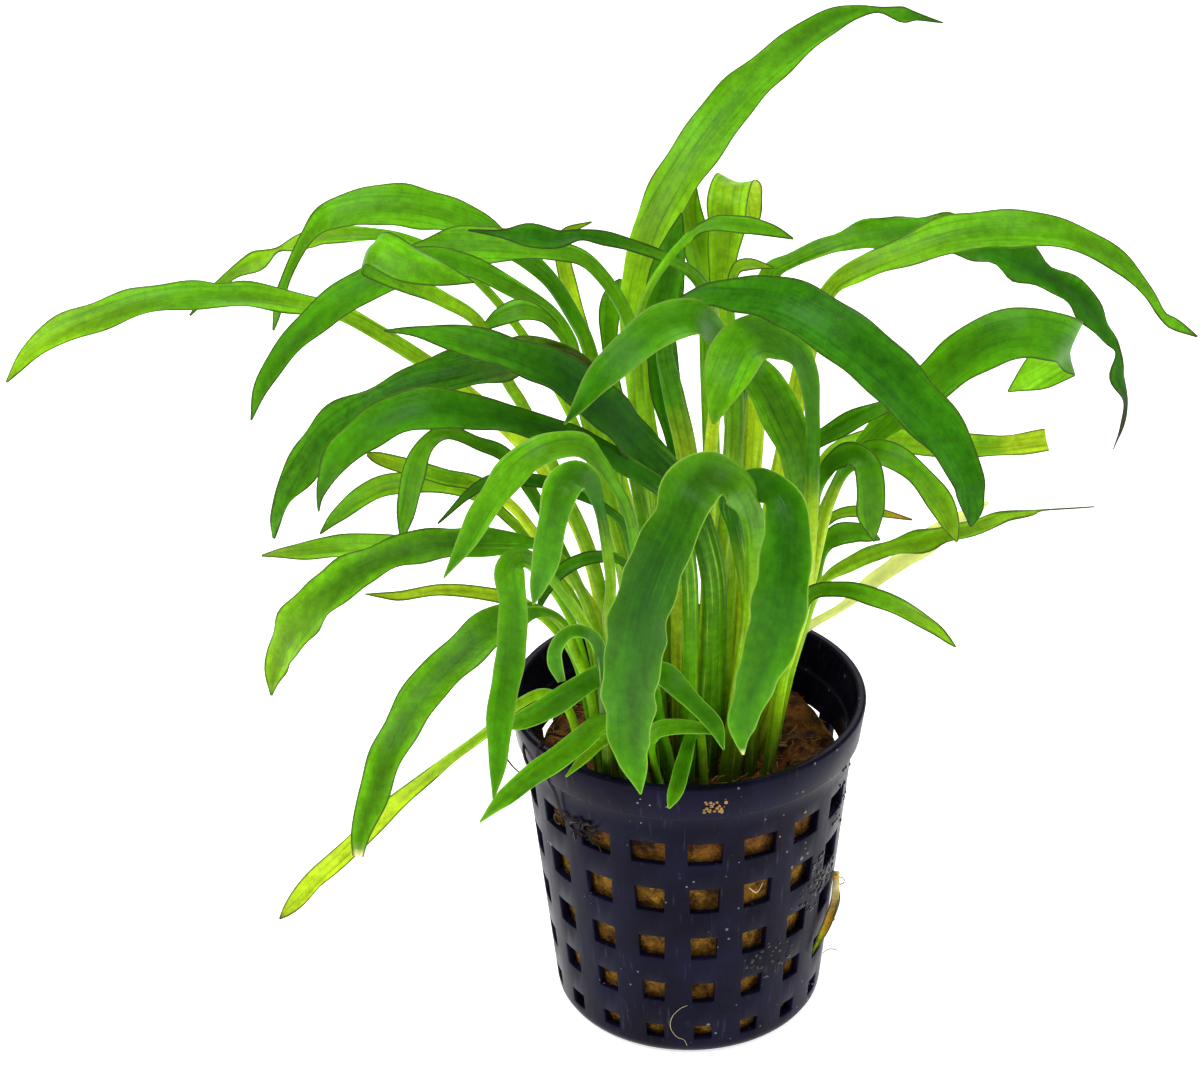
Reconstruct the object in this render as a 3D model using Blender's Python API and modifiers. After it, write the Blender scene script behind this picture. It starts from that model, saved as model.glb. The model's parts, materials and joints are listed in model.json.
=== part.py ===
# Potted cryptocoryne: a net pot of black plastic, a plug of rooting wool, and the leaves that grow from it.
# The origin is the middle of the pot's underside, on the surface that the pot stands on. +Z is up.
# The front of the plant faces -Y, and +X is to its right.

import math

import bmesh
import bpy
from mathutils import Matrix, Vector

MM = 0.001
GAP = 0.3

# Pot, in millimetres
POT_HEIGHT = 54.0
BASE_RADIUS = 20.9
BASE_ROUND = 2.0
WALL_THICKNESS = 1.2
COLLAR_HEIGHT = 6.0
COLLAR_FOOT_RADIUS = 26.6
RIM_RADIUS = 27.5
WALL_TOP_RADIUS = 25.7
LIP_WIDTH = 1.5
LEDGE = 0.6
FLOOR_THICKNESS = 1.5
POT_SIDES = 36

# Square holes in the pot's wall: the height of each row's middle, and the size of its holes
HOLE_COLUMNS = 18
HOLE_TURN = math.radians(4.0)
HOLE_ROWS = [
    (40.6, 5.4, 4.0),
    (31.5, 4.5, 4.6),
    (22.1, 4.0, 4.3),
    (13.1, 3.5, 3.8),
    (4.9, 2.8, 2.7),
]
HOLE_DEPTH = 6.0

# Wool plug, in millimetres
WOOL_TOP = 44.0
WOOL_FLAT = 19.0
WOOL_EDGE_DROP = 1.4
WOOL_SIDES = 32

# Leaves, in millimetres. A leaf's route is drawn on the upright plane through the pot's axis, as the plant
# is seen from VIEW_POINT, and each of its points is then brought forward along the line to VIEW_POINT.
# The leaves fan out from CROWN, so a point's depth grows with its distance from it, up to FAN_REACH.
VIEW_POINT = Vector((-13.0, -395.0, 296.0))
CROWN = Vector((0.0, 0.0, 44.0))
FAN = 1.0
FAN_REACH = 80.0
LEAF_THICKNESS = 0.7
STEM_THICKNESS = 1.5
TIP_WIDTH = 0.5
CHANNEL = 0.1
STALK_STEP = 19.0
BLADE_STEP = 6.6
BEND_WORTH = 7.0
MOST_STALK_STEPS = 5
FEWEST_BLADE_STEPS = 6
MOST_BLADE_STEPS = 13
LEAST_FACING = 0.4

# Leaf colours
MID_GREEN = (0.10, 0.33, 0.01)
DARK_GREEN = (0.02, 0.15, 0.01)
YELLOW_GREEN = (0.33, 0.50, 0.01)
PALE_YELLOW = (0.75, 0.74, 0.22)
BROWN_GREEN = (0.08, 0.09, 0.01)


def clear_scene():
    for old in list(bpy.data.objects):
        bpy.data.objects.remove(old, do_unlink=True)


def collection(name):
    made = bpy.data.collections.new(name)
    bpy.context.scene.collection.children.link(made)
    return made


def material(name, colour, roughness):
    made = bpy.data.materials.new(name)
    made.use_nodes = True
    shader = made.node_tree.nodes["Principled BSDF"]
    shader.inputs["Base Color"].default_value = (*colour, 1.0)
    shader.inputs["Roughness"].default_value = roughness
    shader.inputs["Metallic"].default_value = 0.0
    return made


def place(name, mesh, where, finish=None):
    made = bpy.data.objects.new(name, mesh)
    where.objects.link(made)
    if finish:
        mesh.materials.append(finish)
        mesh.shade_smooth()
        mesh.set_sharp_from_angle(angle=math.radians(35))
    return made


def turned(name, profile, sides, where, finish):
    """A closed solid turned about Z from a profile of (radius, height) that runs down its outer side."""
    mesh = bpy.data.meshes.new(name)
    points = [(radius * MM, 0.0, height * MM) for radius, height in profile]
    edges = [(i, i + 1) for i in range(len(points) - 1)]
    mesh.from_pydata(points, edges, [])
    made = place(name, mesh, where, finish)
    screw = made.modifiers.new("Turn", "SCREW")
    screw.steps = sides
    screw.render_steps = sides
    screw.use_merge_vertices = True
    screw.merge_threshold = 0.00005
    return made


def wall_radius(height):
    """Outer radius of the pot's tapered wall at a height in millimetres."""
    top = POT_HEIGHT - COLLAR_HEIGHT
    return BASE_RADIUS + (WALL_TOP_RADIUS - BASE_RADIUS) * height / top


def hole_cutters(where):
    """One mesh of boxes, one for each hole in the wall."""
    cutters = bmesh.new()
    for height, wide, tall in HOLE_ROWS:
        for column in range(HOLE_COLUMNS):
            turn = column * math.tau / HOLE_COLUMNS + HOLE_TURN
            box = bmesh.ops.create_cube(cutters, size=1.0)["verts"]
            bmesh.ops.scale(cutters, vec=Vector((HOLE_DEPTH, wide, tall)) * MM, verts=box)
            middle = Vector((wall_radius(height) - WALL_THICKNESS / 2, 0.0, height)) * MM
            bmesh.ops.translate(cutters, vec=middle, verts=box)
            bmesh.ops.rotate(cutters, matrix=Matrix.Rotation(turn - math.pi / 2, 3, "Z"), verts=box)
    mesh = bpy.data.meshes.new("hole_cutters")
    cutters.to_mesh(mesh)
    cutters.free()
    made = place("hole_cutters", mesh, where)
    made.hide_render = True
    made.display_type = "WIRE"
    return made


def pot(where, cutters):
    """Tapered net pot with a stepped collar, an open top and rows of square holes."""
    inside_floor = FLOOR_THICKNESS
    inner = wall_radius(inside_floor) - WALL_THICKNESS
    collar_foot = POT_HEIGHT - COLLAR_HEIGHT
    lip = RIM_RADIUS - LIP_WIDTH
    profile = [
        (0.0, inside_floor),
        (inner - BASE_ROUND / 2, inside_floor),
        (inner, inside_floor + BASE_ROUND / 2),
        (WALL_TOP_RADIUS - WALL_THICKNESS, collar_foot),
        (WALL_TOP_RADIUS - WALL_THICKNESS + LEDGE, collar_foot),
        (lip, POT_HEIGHT),
        (RIM_RADIUS, POT_HEIGHT),
        (COLLAR_FOOT_RADIUS, collar_foot),
        (WALL_TOP_RADIUS, collar_foot - LEDGE),
        (wall_radius(BASE_ROUND), BASE_ROUND),
        (BASE_RADIUS - BASE_ROUND * 0.3, BASE_ROUND * 0.3),
        (BASE_RADIUS - BASE_ROUND, 0.0),
        (0.0, 0.0),
    ]
    finish = material("Black plastic", (0.012, 0.013, 0.025), 0.35)
    made = turned("pot", profile, POT_SIDES, where, finish)
    cut = made.modifiers.new("Holes", "BOOLEAN")
    cut.operation = "DIFFERENCE"
    cut.object = hole_cutters(cutters)
    return made


def wool_plug(where):
    """Plug of rooting wool that fills the pot to just under its collar."""
    foot = FLOOR_THICKNESS + GAP
    foot_radius = wall_radius(foot) - WALL_THICKNESS - BASE_ROUND / 2 - 2 * GAP
    shoulder = foot + BASE_ROUND / 2
    edge = WOOL_TOP - WOOL_EDGE_DROP
    clear = WALL_THICKNESS + 2 * GAP
    profile = [
        (0.0, WOOL_TOP),
        (WOOL_FLAT, WOOL_TOP),
        (wall_radius(edge) - clear, edge),
        (wall_radius(shoulder) - clear, shoulder),
        (foot_radius, foot),
        (0.0, foot),
    ]
    finish = material("Rooting wool", (0.13, 0.07, 0.01), 0.95)
    return turned("wool_plug", profile, WOOL_SIDES, where, finish)


def in_space(across, up, front):
    """A point of a leaf's route, brought forward from the mid plane towards the viewing point."""
    drawn = Vector((across, 0.0, up))
    fan = 1 + FAN * min((drawn - CROWN).length / FAN_REACH, 1.0)
    return drawn.lerp(VIEW_POINT, front * fan / -VIEW_POINT.y)


def smooth_route(points):
    """Fine points on a smooth curve through the route's points. Each comes with the length run so far,
    and with an effort that also counts the bending, so that even steps of effort crowd at the bends."""
    ends = [points[0] * 2 - points[1]] + points + [points[-1] * 2 - points[-2]]
    fine = []
    for i in range(1, len(ends) - 2):
        a, b, c, d = ends[i - 1:i + 3]
        for k in range(8):
            t = k / 8
            fine.append(0.5 * ((2 * b) + (c - a) * t + (2 * a - 5 * b + 4 * c - d) * t * t
                               + (3 * b - a - 3 * c + d) * t * t * t))
    fine.append(points[-1])
    runs = [0.0]
    efforts = [0.0]
    heading = fine[1] - fine[0]
    for before, after in zip(fine, fine[1:]):
        stretch = after - before
        runs.append(runs[-1] + stretch.length)
        efforts.append(efforts[-1] + stretch.length + BEND_WORTH * stretch.angle(heading))
        heading = stretch
    return fine, runs, efforts


def read_off(values, marks, mark):
    """The value of a rising list of marks at one mark, between the two values nearest to it."""
    for i in range(1, len(marks)):
        if marks[i] >= mark:
            share = (mark - marks[i - 1]) / max(marks[i] - marks[i - 1], 1e-9)
            return values[i - 1] + (values[i] - values[i - 1]) * share
    return values[-1]


def leaf_stops(runs, efforts, opening):
    """Lengths along a leaf at which it has a section: few on its stalk, more on its blade."""
    open_effort = read_off(efforts, runs, opening)
    stalk = min(max(round(open_effort / STALK_STEP), 2), MOST_STALK_STEPS)
    blade = round((efforts[-1] - open_effort) / BLADE_STEP)
    blade = min(max(blade, FEWEST_BLADE_STEPS), MOST_BLADE_STEPS)
    stops = [open_effort * step / stalk for step in range(stalk)]
    stops += [open_effort + (efforts[-1] - open_effort) * step / blade for step in range(blade + 1)]
    return [read_off(runs, efforts, stop) for stop in stops]


def across_directions(middles, aheads, first, last):
    """The direction across the leaf at each section. From section first to last, the blade has its face to
    the viewing point, except where it comes straight at it. The stalk and a doubled end don't twist."""
    sides = [None] * len(middles)
    for i in range(first, len(middles)):
        side = aheads[i].cross((VIEW_POINT - middles[i]).normalized())
        before = sides[i - 1] if i > first else side
        if side.dot(before) < 0:
            side = -side
        if i > first and (side.length < LEAST_FACING or i > last):
            side = before - aheads[i] * before.dot(aheads[i])
        sides[i] = side.normalized()
    for i in reversed(range(first)):
        sides[i] = (sides[i + 1] - aheads[i] * sides[i + 1].dot(aheads[i])).normalized()
    return sides


def blade_width(share, width, stem, tip):
    """Width across the blade, from its foot at share 0 to its tip at share 1."""
    rise = min(max(share / 0.3, 0.0), 1.0)
    rise = rise * rise * (3 - 2 * rise)
    fall = max(share - 0.4, 0.0) / 0.6
    return max((stem + (width - stem) * rise) * (1 - fall ** 2.2), 0.0) + tip * fall


def leaf(name, root, route, width, blade, colour, where, stem=1.7, tilt=30.0, tip=TIP_WIDTH, fold=99):
    """A leaf from its root on the wool to its tip: a stalk that opens into a shallow channelled blade.
    root is (across, front), and route holds (across, up, front). blade is the route point that it opens
    at, and from the route point fold on, the blade doubles over without turning to the viewing point."""
    foot = Vector((root[0], -root[1], WOOL_TOP + GAP))
    points = [foot] + [in_space(*point) for point in route]
    fine, runs, efforts = smooth_route(points)
    length = runs[-1]
    opening = runs[8 * blade]
    fold_run = runs[min(8 * fold, len(runs) - 1)]
    lean = 1.0 if route[-1][0] < root[0] else -1.0
    turn = math.radians(tilt) * lean
    stops = leaf_stops(runs, efforts, opening)
    middles = [read_off(fine, runs, run) for run in stops]
    aheads = [(read_off(fine, runs, min(run + 0.5, length)) - read_off(fine, runs, max(run - 0.5, 0.0)))
              .normalized() for run in stops]
    first = sum(run < opening - 0.01 for run in stops)
    last = sum(run <= fold_run for run in stops)
    sections = []
    for run, middle, ahead, across in zip(stops, middles, aheads,
                                          across_directions(middles, aheads, first, last)):
        if run > opening:
            share = (run - opening) / (length - opening)
            wide = blade_width(share, width, stem, tip)
            thick = LEAF_THICKNESS + (STEM_THICKNESS - LEAF_THICKNESS) * max(1 - share * 4, 0.0)
            opened = min(share * 4, 1.0)
        else:
            wide = stem
            thick = STEM_THICKNESS
            opened = 0.0
        wide *= 1 - middle.y / VIEW_POINT.y
        edge = across * math.cos(turn * opened) + ahead.cross(across) * math.sin(turn * opened)
        up = edge.cross(ahead)
        rise = up * CHANNEL * wide * opened
        real = wide / math.cos(turn * opened)
        ring = [
            middle + edge * real / 2 + rise,
            middle + up * thick / 2,
            middle - edge * real / 2 + rise,
            middle - up * thick / 2,
        ]
        if run == 0:
            for corner in ring:
                corner.z = foot.z
        sections.append(ring)
    made = bmesh.new()
    rings = [[made.verts.new(corner * MM) for corner in ring] for ring in sections]
    for low, high in zip(rings, rings[1:]):
        for margin, upper, under in ((0, 1, 3), (2, 3, 1)):
            made.faces.new((low[margin], high[margin], high[upper]))
            made.faces.new((low[margin], high[upper], low[upper]))
            made.faces.new((low[margin], high[under], high[margin]))
            made.faces.new((low[margin], low[under], high[under]))
    made.faces.new(rings[0])
    made.faces.new(rings[-1][::-1])
    mesh = bpy.data.meshes.new(name)
    made.to_mesh(mesh)
    made.free()
    return place(name, mesh, where, material(name, colour, 0.4))


def back_leaves(where):
    """Leaves that stand or arch behind the others, the tallest among them."""
    leaf("back_leaf_tall", (-0.5, -7.5),
         [(-3.5, 80, -9), (-6.5, 102, -10), (-7.8, 116.4, -10.5), (-6.7, 124.2, -11), (-4.7, 130.5, -12),
          (-1.5, 136.8, -13.5), (2.8, 143.4, -15.5), (8.2, 150, -18), (14, 156, -20.5),
          (19.9, 160.6, -22.5), (27.6, 162.2, -24), (35.3, 160.2, -25)],
         7.2, 4, MID_GREEN, where, stem=2.4, tilt=25)
    leaf("back_leaf_folded", (3.5, -7.5),
         [(4.3, 80, -8), (4.3, 110, -8.5), (5, 122, -9), (5.7, 130, -9.5), (5.9, 134.4, -9.8),
          (6.5, 137.2, -11.3), (8, 137, -13.6), (8.9, 134.2, -14.8), (9.3, 130.3, -15.2)],
         5.8, 3, YELLOW_GREEN, where, stem=2.2, tilt=5, tip=1.5, fold=5)
    leaf("back_leaf_upright", (4.8, -11),
         [(4, 80, -12.5), (3.2, 110, -13), (2.9, 120, -14), (1.8, 127, -15), (0.6, 133, -16),
          (1.2, 138.5, -17)],
         4.2, 3, MID_GREEN, where, tilt=10)
    leaf("back_leaf_dark", (-1.2, -4.2),
         [(-1.4, 80, -5.5), (-3.4, 105, -6), (-4.6, 116, -6.5), (-3.9, 121.3, -7), (-2.4, 127, -7),
          (-0.6, 133, -7)],
         3.6, 3, DARK_GREEN, where, tilt=10)
    leaf("back_leaf_blade", (-5, -12),
         [(-6.5, 75, -14), (-11, 98, -15), (-14.3, 113, -16), (-16.6, 121.4, -16), (-17.6, 126.9, -16),
          (-17, 130.3, -16), (-13.3, 131.9, -16)],
         2.4, 3, MID_GREEN, where, stem=1.4, tilt=10)
    leaf("back_leaf_rounded", (-2.2, -11),
         [(-4.2, 75, -12), (-8.5, 98, -13), (-11, 110, -13.5), (-11, 118, -13.5), (-10.4, 121.3, -13.5),
          (-9.2, 122.9, -13)],
         3.2, 3, MID_GREEN, where, stem=1.4, tilt=10, tip=1.2)
    leaf("back_leaf_low", (4.7, -4.9),
         [(6.5, 80, -5.5), (7, 105, -6.5), (6.3, 119, -6.3), (7, 123.9, -6.2), (9, 124.9, -6),
          (12.6, 124.3, -5.8)],
         1.8, 4, MID_GREEN, where, stem=1.2, tilt=10)
    leaf("back_leaf_arched", (-9, -6.3),
         [(-9.3, 75, -7), (-11, 95, -8), (-13.8, 111, -9), (-16.1, 117.2, -9), (-19.9, 123.7, -9),
          (-25, 127.9, -9.5), (-30, 131.6, -9.5), (-36.5, 134, -9.5), (-43.6, 134.9, -9.5),
          (-49.6, 133.5, -9.5), (-53.6, 129.9, -9.5), (-56.6, 124.9, -9), (-59.4, 116, -9)],
         6.2, 6, MID_GREEN, where, tilt=30)
    leaf("back_leaf_curled", (-8, -9.6),
         [(-10, 75, -11), (-14.5, 95, -12.5), (-22, 112, -13.5), (-31, 124.5, -14), (-40, 130, -14.5),
          (-50, 130.8, -14.5), (-58, 128.5, -14.5), (-64.3, 125.3, -14), (-71.2, 118.6, -13)],
         1.8, 5, MID_GREEN, where, stem=1.3, tilt=20)


def left_leaves(where):
    """Leaves that reach out to the left, from the highest to the lowest."""
    leaf("left_leaf_longest", (-11, -3.5),
         [(-13, 70, -4), (-16.5, 84, -4.5), (-22.5, 95, -5), (-30.5, 104, -5.5), (-39, 111.5, -6),
          (-48.3, 117.8, -6), (-55, 119.4, -6), (-62, 120.8, -5.5), (-70, 121.5, -5), (-80, 120.3, -4.5),
          (-90.4, 116.2, -3.5), (-98.4, 108.8, -2)],
         5.4, 7, MID_GREEN, where, stem=2.2, tilt=40)
    leaf("left_leaf_crossing", (-7.3, -1),
         [(-8.3, 70, -1.5), (-12, 92, -1), (-15.8, 109, -1), (-17, 114, -1), (-20, 118.5, -1),
          (-26, 122.5, -1), (-31, 125.7, -1), (-36, 126.2, -0.5), (-42, 124.3, 0), (-49.6, 120.4, 0),
          (-54.5, 116.5, 0), (-58.8, 112, 0.5), (-63.4, 101.7, 1)],
         4.6, 8, MID_GREEN, where, tilt=30)
    leaf("left_leaf_doubled", (-9.5, 2.5),
         [(-12.5, 70, 2), (-18.5, 90, 2), (-23.6, 102.6, 3), (-26, 107.3, 3.5), (-29.7, 116.4, 5),
          (-35, 120.5, 6), (-39.5, 123.2, 7), (-43, 125.6, 8), (-45.2, 127.6, 9.6), (-44, 128.6, 11.4),
          (-39.7, 126.4, 12.5), (-30.2, 122.9, 13)],
         6.6, 6, YELLOW_GREEN, where, tilt=5, fold=8)
    leaf("left_leaf_level", (-4.5, -3.8),
         [(-5.5, 80, -4.5), (-7, 104, -5), (-8, 115, -5), (-9.5, 119.5, -5), (-12, 123.5, -5),
          (-15, 126.5, -5.5), (-19.1, 127.7, -5.5), (-25.5, 128.4, -5.5), (-31.4, 128.5, -5.5),
          (-38.9, 128.8, -5.5)],
         5.5, 6, MID_GREEN, where, tilt=25)
    leaf("left_leaf_small_arch", (-6.3, 2.7),
         [(-8.5, 70, 2.5), (-12.8, 90, 2.5), (-15.6, 104, 3), (-17.2, 112.2, 3.5), (-18.4, 114.8, 3.5),
          (-20.5, 117.3, 3.5), (-23.5, 118.7, 3.5), (-26.3, 117.8, 3.5), (-29.7, 115.3, 3.5)],
         2.5, 5, MID_GREEN, where, stem=1.2, tilt=20)
    leaf("left_leaf_twisted", (2.2, -3.5),
         [(4, 80, -3.8), (5.2, 104, -3), (4, 116, -2), (2, 122.3, -1), (-2, 125.7, 0), (-8.1, 128.3, 0.5),
          (-15, 129.4, 1), (-22.2, 130.1, 1), (-30.8, 131, 1)],
         3.0, 5, DARK_GREEN, where, stem=1.4, tilt=10)
    leaf("left_leaf_long_dark", (2.5, 7.5),
         [(4, 62, 8.5), (3.8, 75, 10), (1, 86, 11), (-2.1, 90.7, 11.5), (-7.3, 96.8, 12.5),
          (-12.8, 103.4, 14), (-17.2, 107.4, 15), (-21.7, 110, 16), (-26.2, 112, 17),
          (-32, 113.6, 17.5), (-38, 115, 18), (-43.5, 115.6, 19)],
         5.5, 4, DARK_GREEN, where, tilt=30)
    leaf("left_leaf_brown", (-4, 6.3),
         [(-5, 70, 6.8), (-7.5, 90, 7), (-10.8, 102, 7), (-14.3, 109.3, 7), (-19.4, 112.1, 7),
          (-26, 111.6, 7), (-33.5, 109.6, 6.5), (-39, 107.3, 6), (-44, 104.6, 6), (-49.5, 101.8, 6),
          (-53.8, 98.6, 6), (-57.2, 93.4, 6), (-60.2, 87.5, 6), (-61.6, 82.1, 6)],
         5.6, 6, BROWN_GREEN, where, tilt=30)
    leaf("left_leaf_broad", (-0.5, 9.5),
         [(0.5, 65, 11), (0, 78, 12.5), (-2, 86, 13.5), (-4, 89.4, 14), (-8.6, 92.8, 14.5),
          (-12, 95.4, 15), (-17, 97.9, 15.5), (-24.1, 100.5, 16), (-30, 102.2, 16), (-36.7, 103.2, 16),
          (-42, 102, 16), (-46.8, 99.6, 16), (-50.9, 95.8, 16), (-53.6, 91.4, 16), (-54.7, 86.8, 16)],
         6.6, 7, MID_GREEN, where, tilt=25)
    leaf("left_leaf_thin_low", (-7.5, 7.5),
         [(-7.8, 62, 8), (-8, 74, 8.8), (-9.2, 82.5, 9), (-12, 86, 9.5), (-16, 88.4, 10), (-22, 90.7, 10),
          (-28, 91.3, 10), (-32.3, 88.8, 10), (-37.1, 84, 10)],
         2.1, 5, MID_GREEN, where, stem=1.3, tilt=20)
    leaf("left_leaf_slender", (-10.3, 5.3),
         [(-13.5, 66, 5), (-18, 75, 5), (-22.7, 82, 5), (-26, 86.7, 5), (-30.9, 90.4, 5), (-36, 91.8, 5),
          (-41.7, 93.7, 5), (-47, 95.8, 5)],
         3.0, 5, YELLOW_GREEN, where, stem=1.6, tilt=20)
    leaf("left_leaf_behind", (-12.7, -0.8),
         [(-15, 64, -1), (-20, 76, -1.5), (-28, 86, -2), (-35, 90.2, -2), (-42.8, 90.6, -2),
          (-48, 88.8, -2), (-51.8, 85.9, -1.5), (-54.6, 82.8, -1)],
         4.4, 4, MID_GREEN, where, stem=1.4, tilt=30)
    leaf("left_leaf_hooked", (-12.3, 2.2),
         [(-14.5, 66, 2), (-19, 80, 2.3), (-25.6, 93.6, 3.5), (-31, 97.4, 5), (-35.2, 99, 6.5),
          (-38.2, 97.2, 8), (-40.3, 92.4, 8.5), (-41.4, 87, 8.5), (-42.7, 81, 8.5)],
         3.8, 5, MID_GREEN, where, stem=1.4, tilt=20)
    leaf("left_leaf_bowed", (-10.5, 8.5),
         [(-12.5, 58, 9.5), (-15.3, 70, 11), (-18.8, 77.3, 12), (-23, 80.3, 12.5), (-30, 80.6, 13),
          (-39.2, 79.9, 13), (-47.4, 77.2, 12.5), (-54.2, 72.3, 12), (-59.7, 66, 11), (-62.7, 60, 10),
          (-63.9, 54.6, 10)],
         7.4, 5, YELLOW_GREEN, where, tilt=30)
    leaf("left_leaf_straight", (-13, 6),
         [(-16.3, 62, 6), (-20, 72, 6), (-25.5, 78, 6), (-32, 79.6, 6), (-42, 79.8, 5.5), (-50, 80.1, 5),
          (-57, 79.9, 5), (-63.7, 79.1, 4.5)],
         4.2, 4, MID_GREEN, where, stem=1.4, tilt=30)
    leaf("left_leaf_yellowed", (-13.7, 8.8),
         [(-16.5, 58, 9), (-20.5, 66, 9.3), (-25, 70, 9.3), (-30.4, 71.7, 9.3), (-37, 72.4, 9.3),
          (-43, 72, 9.3), (-48.6, 72.1, 9.3)],
         2.7, 4, YELLOW_GREEN, where, stem=1.4, tilt=20)
    leaf("left_leaf_bleached", (-13, 11.5),
         [(-15, 54, 12.5), (-17, 61, 14), (-19, 66.4, 16), (-22, 68.6, 18), (-26, 68, 20),
          (-31, 65.4, 22), (-37.2, 60, 24), (-41.2, 55, 25.5), (-43.8, 50, 26.5), (-46.8, 42.5, 28),
          (-49.2, 35, 28.5), (-50.8, 29.5, 29), (-51.5, 24, 29.5)],
         7.4, 5, YELLOW_GREEN, where, tilt=25, tip=2.2)
    leaf("left_leaf_lowest", (-15.8, 11),
         [(-18, 50, 12.5), (-21.5, 54, 14.5), (-26, 52.2, 16.5), (-31.4, 47, 18), (-37.2, 42.2, 19),
          (-43.4, 36.4, 19.5), (-49.5, 30.2, 20), (-56, 23.8, 20), (-62, 17.6, 20), (-65.6, 12.8, 20)],
         5.6, 5, YELLOW_GREEN, where, stem=1.6, tilt=30)


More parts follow.
